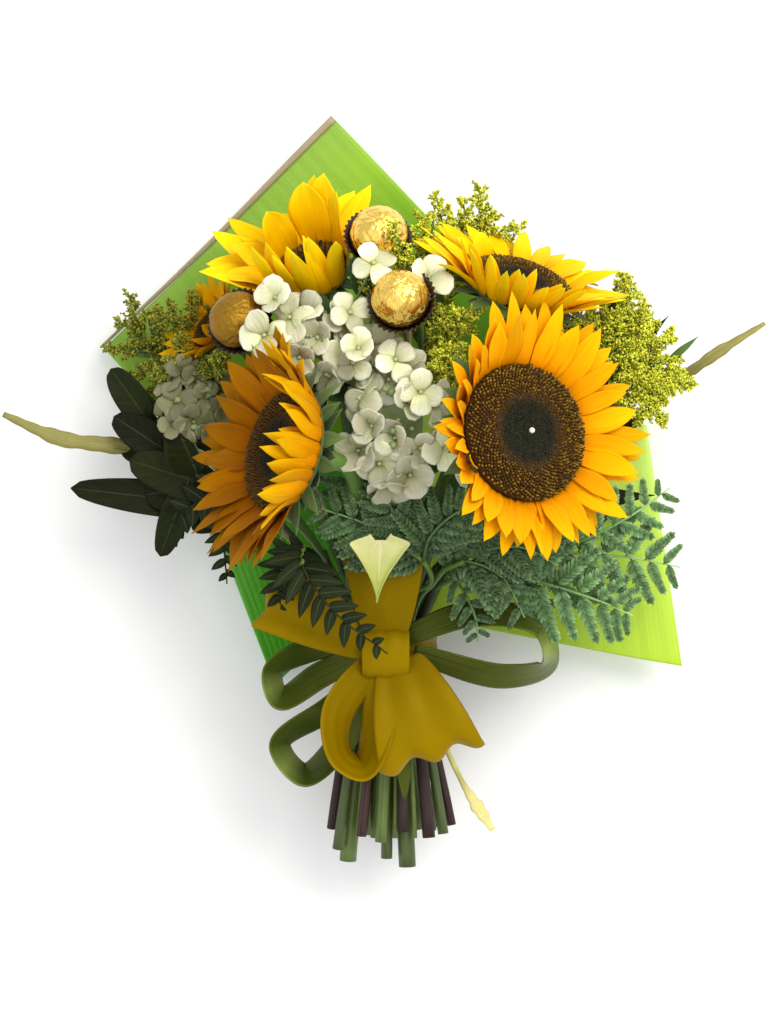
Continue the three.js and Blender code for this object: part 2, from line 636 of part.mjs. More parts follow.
const BACK_LEAVES = {
  back_leaf_top: {
    corners: [V(-2, -112, 0), V(98, 82, 0), V(-29, 211, 0), V(-169, 75, 0)], steps: [9, 8],
    place: (p) => p.setX(p.x * lerp(0.4, 1, smoothstep(p.y, -101, -60))),
    height: (x, y) => 13.2 * inNeck(x, y) + 22 * smoothstep(y, 105, 220) + 12 * smoothstep(-x, 75, 175),
  },
  back_leaf_right: {
    corners: [V(5, -111, 0), V(178, -116, 0), V(157, 28, 0), V(14, 44, 0)], steps: [7, 6], gather: 1.6,
    place: (p, u, w) => p.setY(p.y + 21 * Math.sin(Math.PI * Math.pow(u, 0.35)) * (1 - w)),
    height: (x, y) => lerp(4.2 + 22 * smoothstep(x, 20, 180), 16.2, inNeck(x, y)),
  },
  back_leaf_left: {
    corners: [V(-3, -111, 0), V(-22, 10, 0), V(-98, -42, 0), V(-66, -128, 0)], steps: [5, 5],
    place: (p, u, w) => p.setY(p.y + 27 * Math.sin(Math.PI * Math.pow(w, 0.45)) * (1 - u)),
    height: (x, y) => lerp(4.2 + 18 * smoothstep(-x, 30, 100), 16.2, inNeck(x, y)),
  },
};

// gather crowds the steps of the sheet towards its base; place moves a point of the flat sheet.
function backLeaf({ corners, steps, gather = 1, place, height }) {
  const [a, b, c, d] = corners;
  return sheet(...steps, (i, w, top) => {
    const u = Math.pow(i, gather);
    const p = place(a.clone().lerp(b, u).lerp(d.clone().lerp(c, u), w), u, w);
    return p.setZ(height(p.x, p.y) + top * LEAF_SHEET);
  });
}

for (const [name, leaf] of Object.entries(BACK_LEAVES)) {
  addPiece(bunch, name, backLeaf(leaf), "backLeaf");
}

// ---- the tie: string, ribbon collar, ribbon bow and loops of strap leaf ----
function band(radius, thick, width, y) {
  const profile = [
    new THREE.Vector2(radius, -width / 2),
    new THREE.Vector2(radius + thick, -width / 2),
    new THREE.Vector2(radius + thick, width / 2),
    new THREE.Vector2(radius, width / 2),
    new THREE.Vector2(radius, -width / 2),
  ];
  return solid(new THREE.LatheGeometry(profile, 20).translate(TIE.x, y, TIE.z));
}
addPiece(bunch, "ribbon_collar", band(COLLAR_RADIUS, RIBBON, 20, -104), "yellowRibbon");

const string = new THREE.TorusGeometry(STRING_RADIUS, 0.9, 3, 18).rotateX(Math.PI / 2);
addPiece(bunch, "binding_string", solid(string.translate(TIE.x, -102, TIE.z)), "string");

// A loop of ribbon or leaf: it leaves the knot flat, turns on edge by tilt round its far end, and returns.
function loopStrip(points, width, thick, tilt, steps) {
  const curve = curveThrough(...points);
  const face = (t) => {
    const ahead = curve.getTangent(t);
    const onEdge = Math.sin(Math.PI * clamp(t, 0, 1)) * tilt;
    const inPlane = V(-ahead.y, ahead.x, 0).normalize();
    return V(0, 0, 1).multiplyScalar(Math.cos(onEdge)).addScaledVector(inPlane, Math.sin(onEdge));
  };
  return strip(curve, face, width, thick, steps);
}

// A loop seen broadside: out over and back under, its width lying across.
function flatLoop(root, tip, width, height, steps) {
  const across = tip.clone().sub(root).setZ(0).normalize();
  const up = V(0, 0, height);
  const curve = curveThrough(
    root.clone().addScaledVector(across, -4),
    root.clone().lerp(tip, 0.5).add(up),
    tip.clone().add(up.clone().multiplyScalar(0.75)),
    tip.clone().addScaledVector(across, 4).addScaledVector(up, 0.2),
    tip.clone().addScaledVector(up, -0.3),
    root.clone().lerp(tip, 0.45).addScaledVector(up, -0.45),
  );
  const side = across.clone().cross(V(0, 0, 1));
  const face = (t) => side.clone().cross(curve.getTangent(t)).normalize();
  return strip(curve, face, width, RIBBON, steps);
}

const KNOT = V(1, -105, 84.8);
const knot = new THREE.SphereGeometry(1, 8, 6).scale(14, 13, 7.4).translate(KNOT.x, KNOT.y, KNOT.z);
const widening = (narrow, wide) => (t) => lerp(narrow, wide, Math.sin(Math.PI * clamp(t, 0, 1)));
const teardrop = [
  V(-4, -108, 82),
  V(-26, -138, 90),
  V(-24, -164, 88),
  V(-12, -170, 88),
  V(-4, -150, 88),
  V(-1, -112, 84),
];
const bow = join([
  solid(knot),
  flatLoop(V(-6, -100, 83), V(-62, -73, 80), widening(16, 42), 6, 9),
  flatLoop(V(1, -96, 84), V(0, -52, 88), widening(18, 46), 5, 9),
  flatLoop(V(10, -112, 84), V(26, -162, 88), widening(18, 60), 7, 9),
  loopStrip(teardrop, widening(14, 30), RIBBON, 1.2, 11),
]);
addPiece(bunch, "ribbon_bow", bow, "yellowRibbon");

const STRAP_LOOPS = {
  strap_leaf_right: [
    V(8, -97, 74.4), V(54, -82, 78), V(90, -90, 77),
    V(95, -112, 72), V(70, -119, 70), V(17, -105, 76),
  ],
  strap_leaf_left: [
    V(-6, -95, 74.4), V(-44, -104, 70), V(-64, -116, 70),
    V(-60, -132, 68), V(-38, -119, 68), V(-14, -106, 76.4),
  ],
  strap_leaf_low: [
    V(-5, -117, 76.2), V(-32, -138, 72), V(-60, -158, 72),
    V(-46, -176, 70), V(-25, -158, 67), V(-7, -128, 78),
  ],
};
for (const [name, points] of Object.entries(STRAP_LOOPS)) {
  addPiece(bunch, name, loopStrip(points, widening(9, 23), 1, 1.1, 12), "strapLeaf");
}
const tailCurve = new THREE.QuadraticBezierCurve3(V(6, -112, 74), V(11, -150, 78), V(12, -190, 74));
const tailWidth = (t) => 6.5 * Math.sqrt(Math.sin(Math.PI * t));
const tail = blade(tailCurve, V(0, 0, 1), tailWidth, { rings: 6 });
addPiece(bunch, "strap_leaf_tail", tail, "strapLeaf");

// ---- foil-wrapped sweets in fluted paper cups on picks ----
const SWEETS = {
  middle: {
    at: V(9, 93, 140), facing: V(-0.25, 0.3, 0.92),
    slot: "sweetMiddle", by: [V(8, 10, 84), V(14, 66, 96)],
  },
  top: {
    at: V(-3, 131, 118), facing: V(0.1, 0.45, 0.9),
    slot: "sweetTop", by: [V(4, 20, 70), V(2, 96, 84)],
  },
  left: {
    at: V(-82, 84, 108), facing: V(-0.3, 0.2, 0.93),
    slot: "sweetLeft", by: [V(-40, -10, 60), V(-70, 66, 58)],
  },
};
const SWEET_RADIUS = 16;
const CUP_FLOOR = -17.4;

for (const [name, sweet] of Object.entries(SWEETS)) {
  const group = headGroup(sweet.at, sweet.facing);
  const draw = drawsFrom(name.length);
  const crinkle = reshape(new THREE.IcosahedronGeometry(SWEET_RADIUS, 2), (v) => {
    const dent = 0.35 * Math.sin(1.9 * v.x + 0.7 * v.y) * Math.sin(1.3 * v.z - 1.1 * v.x);
    return v.multiplyScalar(1 + dent / SWEET_RADIUS);
  });
  addPiece(group, "foil_ball_" + name, solid(crinkle), "foil");
  const cupWall = [
    new THREE.Vector2(0, CUP_FLOOR - 0.9),
    new THREE.Vector2(11, CUP_FLOOR - 0.9),
    new THREE.Vector2(19, -3),
    new THREE.Vector2(18.1, -2.5),
    new THREE.Vector2(10.4, CUP_FLOOR),
    new THREE.Vector2(0, CUP_FLOOR),
  ];
  const cup = new THREE.LatheGeometry(cupWall, 14).rotateX(Math.PI / 2);
  addPiece(group, "paper_cup_" + name, solid(cup), "paperCup");
  const foot = group.localToWorld(V(0, 0, CUP_FLOOR - 2));
  const route = curveThrough(...stemFoot(sweet.slot, sweet.by[0], 40), ...sweet.by, foot);
  const pick = bar(route, 1.2, { sides: 4, steps: 6 });
  addPiece(bunch, "pick_" + name, pick, "pick");
}

// ---- two flat gilded twigs: strips that widen towards their far end and twist as they go ----
const TWIGS = {
  twig_left: {
    slot: "twigLeft", wide: [4, 9.5], from: 0.5, to: 0.75, turn: 0.3, turns: 9,
    points: [V(-60, -36, 40), V(-104, -4, 44), V(-148, 13, 50), V(-189, 19, 58), V(-222, 33, 60)],
  },
  twig_right: {
    slot: "twigRight", wide: [3, 7], from: 0.5, to: 0.7, turn: 0.8, turns: 7,
    points: [V(70, -30, 44), V(140, 40, 52), V(172, 54, 58), V(196, 70, 60), V(222, 86, 60)],
    cut: [V(64, -211, 48), V(43, -177, 45)], // its cut end stands out from the bundle
  },
};
const TWIG_THICK = 2.6;

function twig({ slot, points, cut, wide, from, to, turn, turns }) {
  const [foot, ...bound] = stemFoot(slot, points[0]);
  const route = curveThrough(...(cut ?? [foot]), ...bound, ...points);
  const widthAt = (t) => lerp(...wide, smoothstep(t, from, to)) * (1 - 0.6 * smoothstep(t, 0.85, 1));
  const face = (t) => V(0, Math.sin(turn * Math.sin(turns * t)), Math.cos(turn * Math.sin(turns * t)));
  return strip(route, face, widthAt, TWIG_THICK, 14);
}

for (const [name, plan] of Object.entries(TWIGS)) {
  addPiece(bunch, name, twig(plan), "gilt");
}

export default bunch;
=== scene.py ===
import math

import bpy
import numpy as np
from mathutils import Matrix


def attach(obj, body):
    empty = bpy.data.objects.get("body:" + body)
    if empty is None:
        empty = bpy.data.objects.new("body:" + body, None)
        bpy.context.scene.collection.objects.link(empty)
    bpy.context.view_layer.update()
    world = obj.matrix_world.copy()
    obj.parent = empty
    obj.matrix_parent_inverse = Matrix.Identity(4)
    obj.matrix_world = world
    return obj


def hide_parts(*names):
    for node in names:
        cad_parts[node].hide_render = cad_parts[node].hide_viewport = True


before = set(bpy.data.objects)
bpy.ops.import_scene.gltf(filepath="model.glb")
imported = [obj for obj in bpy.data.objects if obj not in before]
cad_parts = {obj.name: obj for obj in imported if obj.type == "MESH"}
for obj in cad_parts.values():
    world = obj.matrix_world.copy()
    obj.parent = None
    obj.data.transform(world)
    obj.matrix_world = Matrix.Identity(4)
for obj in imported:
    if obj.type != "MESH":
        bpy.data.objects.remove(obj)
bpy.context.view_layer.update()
metresPerMm = 0.001  # shapes are worked out in millimetres and stored in metres
print("frame loaded:", len(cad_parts), "nodes")


# camera, lights and floor
studio = {
    "camera": (0.0, -23.94, 1390.0), "lens": 80.2, "sky": 0.87, "floorDrop": 0.6, "floorSize": 6000.0,
    "lamps": {
        "key": {"at": (620.0, 700.0, 1150.0), "size": 900.0, "power": 16.0, "colour": (1.0, 0.97, 0.9)},
        "fill": {"at": (-500.0, -300.0, 1500.0), "size": 1600.0, "power": 5.0, "colour": (0.95, 0.98, 1.0)},
    },
}
camera = bpy.data.objects.new("camera", bpy.data.cameras.new("camera"))
camera.location = [side * metresPerMm for side in studio["camera"]]
camera.data.lens = studio["lens"]
camera.data.clip_end = 20.0
bpy.context.scene.collection.objects.link(camera)
bpy.context.scene.camera = camera
bpy.context.scene.view_settings.view_transform = "Standard"

for name, lamp in studio["lamps"].items():
    light = bpy.data.objects.new(name, bpy.data.lights.new(name, "AREA"))
    light.data.energy = lamp["power"]
    light.data.size = lamp["size"] * metresPerMm
    light.data.color = lamp["colour"]
    light.location = [side * metresPerMm for side in lamp["at"]]
    light.rotation_euler = (-light.location).to_track_quat("-Z", "Y").to_euler()
    bpy.context.scene.collection.objects.link(light)

world = bpy.data.worlds.new("sky")
world.use_nodes = True
background = world.node_tree.nodes["Background"]
background.inputs["Color"].default_value = (1.0, 1.0, 1.0, 1.0)
background.inputs["Strength"].default_value = studio["sky"]
bpy.context.scene.world = world


# finishes
def fillSocket(material, socket, value):
    # a socket takes a link from another node, a colour or a plain value
    if isinstance(value, bpy.types.NodeSocket):
        material.node_tree.links.new(value, socket)
    else:
        socket.default_value = (*value, 1.0) if socket.type == "RGBA" else value


def addNode(material, kind, inputs=(), **settings):
    # one shader node, with its settings, and its inputs by name or by number
    node = material.node_tree.nodes.new("ShaderNode" + kind)
    for key, value in settings.items():
        setattr(node, key, value)
    for key, value in dict(inputs).items():
        fillSocket(material, node.inputs[key], value)
    return node


def colourRamp(material, factor, stops):
    # a smooth change of colour: stops holds (r, g, b) by place
    node = addNode(material, "ValToRGB", {"Fac": factor})
    elements = node.color_ramp.elements
    while len(elements) < len(stops):
        elements.new(0.5)
    for element, (place, colour) in zip(elements, stops.items()):
        element.position = place
        element.color = (*colour, 1.0)
    return node.outputs["Color"]


def arithmetic(material, operation, *values):
    # the operation on the values, point by point
    return addNode(material, "Math", enumerate(values), operation=operation).outputs[0]


def mixed(material, factor, a, b, blend="MIX"):
    # two colours mixed, or one laid over the other by blend
    inputs = {0: factor, 6: a, 7: b}
    return addNode(material, "Mix", inputs, data_type="RGBA", blend_type=blend).outputs[2]


def noise(material, vector, scale, detail):
    # soft noise from 0 to 1 over vector * scale, with detail finer layers on it
    return addNode(material, "TexNoise", {"Vector": vector, "Scale": scale, "Detail": detail}).outputs["Fac"]


def bodyNoise(material, scale, detail):
    # the same noise over the piece's own metres
    return noise(material, addNode(material, "TexCoord").outputs["Object"], scale, detail)


def placeOn(material):
    # across (-1 to 1), along (0 to 1) and each blade's own random number, from the mesh
    place = addNode(material, "Attribute", attribute_name="place")
    split = addNode(material, "SeparateXYZ", {"Vector": place.outputs["Vector"]})
    return split.outputs["X"], split.outputs["Y"], split.outputs["Z"]


def newFinish(name):
    # a material and the surface shader in it
    material = bpy.data.materials.new(name)
    material.use_nodes = True
    return material, material.node_tree.nodes["Principled BSDF"]


def closeFinish(material, surface, colour, height, bump, **constants):
    # joins the colour and the bump to the surface and sets its plain values
    relief = addNode(material, "Bump", {"Height": height, "Distance": 0.001, "Strength": bump})
    joined = {"Base Color": colour, "Normal": relief.outputs["Normal"], **constants}
    for key, value in joined.items():
        fillSocket(material, surface.inputs[key.replace("_", " ")], value)
    return material


plantNoise = {"alongScale": 1.3, "bladeShift": 37.0, "blotchScale": 90.0, "veinEdge": 5.0, "veinDip": 0.6}


def plantFinish(name, along, grain, rib=None, veins=None, bump=0.5, **constants):
    # Colour: a change along the blade, streaked lengthways by noise stretched along it, lighter or darker
    # from blade to blade, and mottled by soft noise. rib colours a band down the middle. The side veins are
    # a triangle wave of along times how many there are, less across times their slant.
    material, surface = newFinish(name)
    across, length, own = placeOn(material)
    streaks, streakDepth, vary, mottle = grain

    def times(a, b):
        # a times b
        return arithmetic(material, "MULTIPLY", a, b)

    def nearOne(value, depth):
        # 1, less or more by half the depth as value goes from 0 to 1
        return arithmetic(material, "MULTIPLY_ADD", value, depth, 1.0 - 0.5 * depth)

    stretched = addNode(material, "CombineXYZ", {
        "X": times(across, streaks), "Y": times(length, plantNoise["alongScale"]),
        "Z": times(own, plantNoise["bladeShift"])})
    height = noise(material, stretched.outputs[0], 1.0, 2.0)
    blotch = bodyNoise(material, plantNoise["blotchScale"], 3.0)
    shade = times(times(nearOne(height, streakDepth), nearOne(own, vary)), nearOne(blotch, mottle))
    if veins:
        count, slant, depth = veins
        lean = times(arithmetic(material, "ABSOLUTE", across), -slant)
        leaning = arithmetic(material, "MULTIPLY_ADD", length, count, lean)
        wave = arithmetic(material, "PINGPONG", leaning, 0.5)
        line = arithmetic(material, "SMOOTH_MIN", times(wave, plantNoise["veinEdge"]), 1.0, 0.3)
        height = arithmetic(material, "ADD", height, times(line, -plantNoise["veinDip"]))
        shade = times(shade, arithmetic(material, "MULTIPLY_ADD", line, -depth, 1.0 + depth))
    grey = addNode(material, "CombineColor", {"Red": shade, "Green": shade, "Blue": shade}).outputs[0]
    colour = mixed(material, 1.0, colourRamp(material, length, along), grey, "MULTIPLY")
    if rib:
        ribColour, ribWide = rib
        off = arithmetic(material, "DIVIDE", arithmetic(material, "ABSOLUTE", across), ribWide)
        near = arithmetic(material, "SUBTRACT", 1.0, arithmetic(material, "MINIMUM", off, 1.0))
        colour = mixed(material, near, colour, ribColour)
    return closeFinish(material, surface, colour, height, bump, **constants)


def lit(light, stops):
    # the same colours, lighter or darker: copies of one finish for painted light and shade
    return {place: tuple(light * c for c in colour) for place, colour in stops.items()}


# along: colours from foot to tip; grain: streaks across, their depth, change from blade to blade, mottle
# rib: colour and width of the middle band; veins: how many, slant, depth; the rest is the shader's own
plantLooks = {
    "calyx": dict(along={0: (0.05, 0.1, 0.015), 1: (0.09, 0.17, 0.03)}, grain=(5, 0.3, 0.35, 0.4),
                  bump=0.6, Roughness=0.6, Sheen_Weight=0.15),
    "stem": dict(along={0: (0.075, 0.11, 0.02), 0.3: (0.055, 0.105, 0.014), 1: (0.08, 0.16, 0.025)},
                 grain=(9, 0.4, 0.9, 0.6), bump=0.6, Roughness=0.45),
    "woodyStem": dict(along={0: (0.045, 0.022, 0.02), 0.5: (0.04, 0.034, 0.014), 1: (0.06, 0.08, 0.02)},
                      grain=(9, 0.5, 0.9, 0.7), bump=0.8, Roughness=0.6, Specular_IOR_Level=0.3),
    # hydrangeaShade: a darker, greyer copy of the hydrangea, painted shade on the left hydrangea
    "hydrangeaShade": dict(along={0: (0.11, 0.12, 0.02), 0.25: (0.16, 0.155, 0.06), 1: (0.22, 0.21, 0.11)},
                           grain=(6, 0.3, 0.5, 0.35), Roughness=0.5),
    "hydrangeaLeaf": dict(along={0: (0.03, 0.07, 0.012), 1: (0.045, 0.11, 0.02)}, grain=(3, 0.3, 0.5, 0.6),
                          rib=((0.1, 0.16, 0.05), 0.07), veins=(7, 1.2, 0.35), bump=0.6, Roughness=0.5,
                          Specular_IOR_Level=0.3),
    # goldenrodShade: a darker copy of goldenrod, painted shade on the left goldenrod
    "goldenrodShade": dict(along={0: (0.09, 0.14, 0.004), 0.5: (0.22, 0.25, 0.008), 1: (0.36, 0.33, 0.02)},
                           grain=(2, 0.3, 0.9, 0.6), bump=0.3, Roughness=0.8),
    "goldenrod": dict(along={0: (0.26, 0.4, 0.01), 0.5: (0.52, 0.57, 0.01), 1: (0.82, 0.78, 0.08)},
                      grain=(2, 0.3, 0.9, 0.6), bump=0.3, Roughness=0.75),
    # ferns low in the bunch, made near black as painted shade
    "shadeFern": dict(along={0: (0.01, 0.016, 0.004), 1: (0.016, 0.026, 0.008)}, grain=(2, 0.4, 0.6, 0.5),
                      rib=((0.06, 0.06, 0.015), 0.12), bump=0.6, Roughness=0.6, Specular_IOR_Level=0.12),
    # dark green leaves made near black, partly their own colour and partly painted shade deep in the bunch
    "darkLeafInShade": dict(along={0: (0.012, 0.016, 0.002), 1: (0.01, 0.013, 0.002)}, grain=(3, 0.3, 0.9, 0.7),
                     rib=((0.04, 0.05, 0.018), 0.05), veins=(7, 1.4, 0.25), bump=0.35, Roughness=0.5,
                     Specular_IOR_Level=0.1),
    "paleLeaf": dict(along={0: (0.3, 0.38, 0.06), 0.4: (0.5, 0.54, 0.12), 1: (0.7, 0.7, 0.3)},
                     grain=(6, 0.25, 0.1, 0.3), rib=((0.75, 0.72, 0.4), 0.1), bump=0.4, Roughness=0.4),
    # the light band halfway along is a painted highlight where each strap leaf bends round
    "strapLeaf": dict(along={0: (0.03, 0.042, 0.004), 0.4: (0.055, 0.078, 0.008), 0.5: (0.2, 0.26, 0.06),
                             0.6: (0.06, 0.08, 0.01), 1: (0.04, 0.048, 0.006)}, grain=(7, 0.4, 0.2, 0.35),
                      bump=0.35, Roughness=0.25, Specular_IOR_Level=0.5, Specular_Tint=(0.75, 0.85, 0.2)),
    "gilt": dict(along={0: (0.8, 0.72, 0.28), 0.12: (0.45, 0.4, 0.12), 0.75: (0.17, 0.155, 0.025),
                        1: (0.26, 0.24, 0.06)}, grain=(3, 0.55, 0.2, 0.7), bump=1.0, Roughness=0.42,
                 Metallic=0.15),
    "budGreen": dict(along={0: (0.18, 0.24, 0.08), 1: (0.32, 0.4, 0.16)}, grain=(2, 0.3, 0.6, 0.5),
                     bump=0.4, Roughness=0.65),
    # darker along the edge that runs under the bunch, lighter towards the far edge: painted shade and light
    "backLeafTop": dict(along={0: (0.12, 0.34, 0.02), 0.5: (0.2, 0.42, 0.02), 0.8: (0.29, 0.53, 0.04),
                               1: (0.25, 0.44, 0.06)}, grain=(95, 0.1, 0, 0.16), bump=0.2, Roughness=0.5,
                        Specular_IOR_Level=0.15),
    "backLeafRight": dict(along={0: (0.42, 0.62, 0.03), 0.4: (0.52, 0.76, 0.07), 1: (0.62, 0.88, 0.18)},
                          grain=(80, 0.16, 0, 0.16), bump=0.25, Roughness=0.45, Specular_IOR_Level=0.3),
    "backLeafLeft": dict(along={0: (0.06, 0.36, 0.008), 1: (0.1, 0.44, 0.015)}, grain=(70, 0.2, 0, 0.16),
                         bump=0.35, Roughness=0.4),
    "midrib": dict(along={0: (0.28, 0.24, 0.12), 1: (0.36, 0.3, 0.18)}, grain=(5, 0.3, 0, 0.4),
                   Roughness=0.6),
    # darker at both ends of each strip, where it is gathered at the knot: painted shade; lighter halfway
    # along
    "satin": dict(along={0: (0.19, 0.115, 0), 0.5: (0.27, 0.168, 0), 1: (0.19, 0.115, 0)},
                  grain=(160, 0.12, 0, 0.1), bump=0.08, Roughness=0.4, Specular_IOR_Level=0.25,
                  Specular_Tint=(1, 0.8, 0.1)),
    "paper": dict(along={0: (0.03, 0.014, 0.008), 1: (0.045, 0.02, 0.01)}, grain=(4, 0.3, 0, 0.3),
                  bump=0.3, Roughness=0.6),
    "foil": dict(along={0: (0.78, 0.51, 0.09), 1: (0.85, 0.58, 0.13)}, grain=(12, 0.2, 0, 0.3),
                 bump=0.9, Roughness=0.26, Metallic=1.0),
    # foilShade: a darker, duller copy of foil, painted shade on the left sweet
    "foilShade": dict(along={0: (0.25, 0.13, 0.005), 1: (0.3, 0.16, 0.01)}, grain=(12, 0.3, 0, 0.4),
                      bump=0.9, Roughness=0.5, Metallic=0.8),
    "pearl": dict(along={0: (0.85, 0.82, 0.74), 1: (0.85, 0.82, 0.74)}, grain=(1, 0, 0, 0.05),
                  bump=0.0, Roughness=0.15, Coat_Weight=0.5),
    "pick": dict(along={0: (0.42, 0.3, 0.14), 1: (0.45, 0.33, 0.16)}, grain=(6, 0.3, 0.2, 0.4),
                 Roughness=0.65),
    "string": dict(along={0: (0.4, 0.3, 0.14), 1: (0.42, 0.32, 0.16)}, grain=(3, 0.5, 0.2, 0.6),
                   bump=1.0, Roughness=0.85),
}
# copies of one petal colour for painted light and shade: petalSun the lightest, petalShade the darkest
for name, (red, green, blue) in {
    "petalSun": (0.94, 0.62, 0.004), "petal": (0.82, 0.38, 0.001), "petalHalfShade": (0.68, 0.34, 0.001),
    "petalShade": (0.33, 0.125, 0.0005),
}.items():
    # a ray petal is more orange at its foot and lighter at its tip
    plantLooks[name] = dict(
        along={0: (0.72 * red, 0.48 * green, 0), 0.3: (0.94 * red, 0.76 * green, 0),
               0.75: (red, green, blue), 1: (red, min(1.2 * green, 1), 3 * blue)},
        grain=(5, 0.32, 0.3, 0.2), bump=0.6, Roughness=0.6, Specular_IOR_Level=0.1,
        Specular_Tint=(1, 0.8, 0.2))
# hydrangeaSun: a lighter copy, painted light on the extra florets, which stand highest
for name, light in {"hydrangea": 0.9, "hydrangeaSun": 1.25}.items():
    plantLooks[name] = dict(
        along=lit(light, {0: (0.3, 0.34, 0.1), 0.22: (0.48, 0.48, 0.26), 0.7: (0.62, 0.6, 0.41),
                          1: (0.76, 0.73, 0.56)}),
        grain=(6, 0.35, 0.6, 0.4), Roughness=0.4, Subsurface_Weight=0.12, Subsurface_Scale=0.004)
# each blade darker at its foot and lighter at its tip: painted shade by the rib, painted highlight on the
# tip
# fernSun: a lighter copy of the fern, painted light on the right fern
for name, light in {"fern": 0.9, "fernSun": 1.5}.items():
    plantLooks[name] = dict(
        along=lit(light, {0: (0.025, 0.06, 0.014), 0.5: (0.07, 0.145, 0.045), 1: (0.19, 0.3, 0.13)}),
        grain=(2, 0.35, 0.9, 0.7), rib=((0.12, 0.2, 0.07), 0.14), bump=0.7, Roughness=0.45,
        Specular_IOR_Level=0.3)
finishes = {name: plantFinish(name, **look) for name, look in plantLooks.items()}
print("finishes made")


# meshes: closed tubes, whose rings may be round or flat
def unit(v):
    # v divided by its length
    return v / np.maximum(np.linalg.norm(v, axis=-1, keepdims=True), 1e-9)


def stacked(*sides):
    # the sides, spread over one shape, as the last axis
    return np.stack(np.broadcast_arrays(*sides), -1)


def evenTurns(count):
    # 2 pi k / count
    return 2 * np.pi * np.arange(count) / count


def eased(x, low, high):
    # 0 below low, 1 above high, and between them 3t^2 - 2t^3
    t = np.clip((x - low) / (high - low), 0, 1)
    return t * t * (3 - 2 * t)


def outline(rows, peak, foot, tip):
    # half width along a blade as a share: from foot up to 1 at peak as a sine, then down to its end as a
    # cosine to the power of tip
    v = np.linspace(0, 1, rows)
    rise = foot + (1 - foot) * np.sin(np.pi / 2 * np.minimum(v / peak, 1))
    fall = np.cos(np.pi / 2 * np.clip((v - peak) / (1 - peak), 0, 1)) ** tip
    return np.maximum(rise * fall, 0.03)


def smoothRoute(points, count):
    # a line through every point: a centripetal Catmull-Rom spline, read at count even steps
    p = np.asarray(points, float)
    p = np.vstack([2 * p[0] - p[1], p, 2 * p[-1] - p[-2]])
    t = np.linspace(0, len(p) - 3, count)
    k = np.minimum(t.astype(int), len(p) - 4)
    w = (t - k)[:, None]
    a, b, c, d = (p[k + i] for i in range(4))
    ab, bc, cd = (np.linalg.norm(r - q, axis=1)[:, None] ** 0.5 for q, r in ((a, b), (b, c), (c, d)))
    tb = ((b - a) / ab - (c - a) / (ab + bc) + (c - b) / bc) * bc
    tc = ((c - b) / bc - (d - b) / (bc + cd) + (d - c) / cd) * bc
    return b + w * tb + w ** 2 * (3 * c - 3 * b - 2 * tb - tc) + w ** 3 * (2 * b - 2 * c + tb + tc)


def routeLength(curve):
    # the sum of the steps between neighbouring points
    return float(np.linalg.norm(np.diff(curve, axis=0), axis=1).sum())


def bowed(start, over, end, v):
    # a line from start to end that leans towards over: a parabola
    return start * (1 - v) ** 2 + 2 * over * v * (1 - v) + end * v ** 2


def arched(root, tip, high, rows):
    # a line from root to tip that rises by high on the way, as a parabola
    v = np.linspace(0, 1, rows)[None, :, None]
    line = root[:, None] + (tip - root)[:, None] * v
    line[..., 2] += np.broadcast_to(high, (len(root),))[:, None] * 4 * v[..., 0] * (1 - v[..., 0])
    return line


def arcs(root, heading, pitch, length, bend, sway, rows):
    # lines that leave root at heading and pitch, bend and sway evenly; also where their face looks
    v = np.linspace(0, 1, rows)
    p = pitch[:, None] - bend[:, None] * v
    h = heading[:, None] + sway[:, None] * v
    step = stacked(np.cos(p) * np.cos(h), np.cos(p) * np.sin(h), np.sin(p))
    step = step * (length / (rows - 1))[:, None, None]
    face = stacked(-np.sin(p) * np.cos(h), -np.sin(p) * np.sin(h), np.cos(p))
    return root[:, None] + np.cumsum(step, axis=1) - step, face


def readLines(lines, which, t):
    # places and directions at t (0 to 1) along the chosen lines
    at = np.clip(t, 0, 1) * (lines.shape[1] - 1)
    k = np.minimum(at.astype(int), lines.shape[1] - 2)
    a, b = lines[which, k], lines[which, k + 1]
    return a + (b - a) * (at - k)[:, None], unit(b - a)


def along(spine):
    # directions along lines, from each point's neighbours on both sides
    return unit(np.gradient(spine, axis=1))


def ringed(spine, face, across, out, place):
    # lays rings on lines: a point is the line's + across * side + out * front, with side square to face
    tangent = along(spine)
    side = unit(np.cross(np.broadcast_to(face, spine.shape), tangent))
    front = np.cross(tangent, side)
    points = spine[:, :, None] + side[:, :, None] * across[..., None] + front[:, :, None] * out[..., None]
    return points, place


up = np.array([0.0, 0.0, 1.0])
leafUp = np.array([0.0, 0.1, 1.0])


def blades(spine, face, halfWidth, fold=0.2, thick=0.7, around=10, twist=0.0, wave=0.0, ribs=0.0, seed=1):
    # Flat closed blades on lines (n, rows, 3). Round its section a goes from 1 to -1 and back as a cosine.
    # A point is a * halfWidth sideways, and out by fold * halfWidth * a^2, half the thickness as a sine,
    # low ribs as cos(3 pi a), and a wave of the edges as a^3 * sin along the blade.
    n, rows, _ = spine.shape
    draw = np.random.default_rng(seed)
    turn = 2 * np.pi * (np.arange(around) + 0.5) / around
    v = np.linspace(0, 1, rows)[None, :, None]
    a = np.cos(turn)[None, None]
    wide = np.broadcast_to(halfWidth, (n, rows))[:, :, None]
    phase = draw.uniform(0, 6.28, (n, 1, 1))
    out = fold * wide * (a ** 2 - 0.3) + thick / 2 * np.sin(turn)[None, None] * np.minimum(wide, 1.0)
    out = out + ribs * np.cos(3 * np.pi * a) * np.minimum(wide / 4, 1)
    out = out + wave * wide * a ** 3 * np.sin(9 * v + phase)
    angle = np.broadcast_to(twist, (n,))[:, None, None] * v
    across = a * wide
    across, out = across * np.cos(angle) - out * np.sin(angle), across * np.sin(angle) + out * np.cos(angle)
    return ringed(spine, face, across, out, stacked(a, v, draw.uniform(0, 1, (n, 1, 1))))


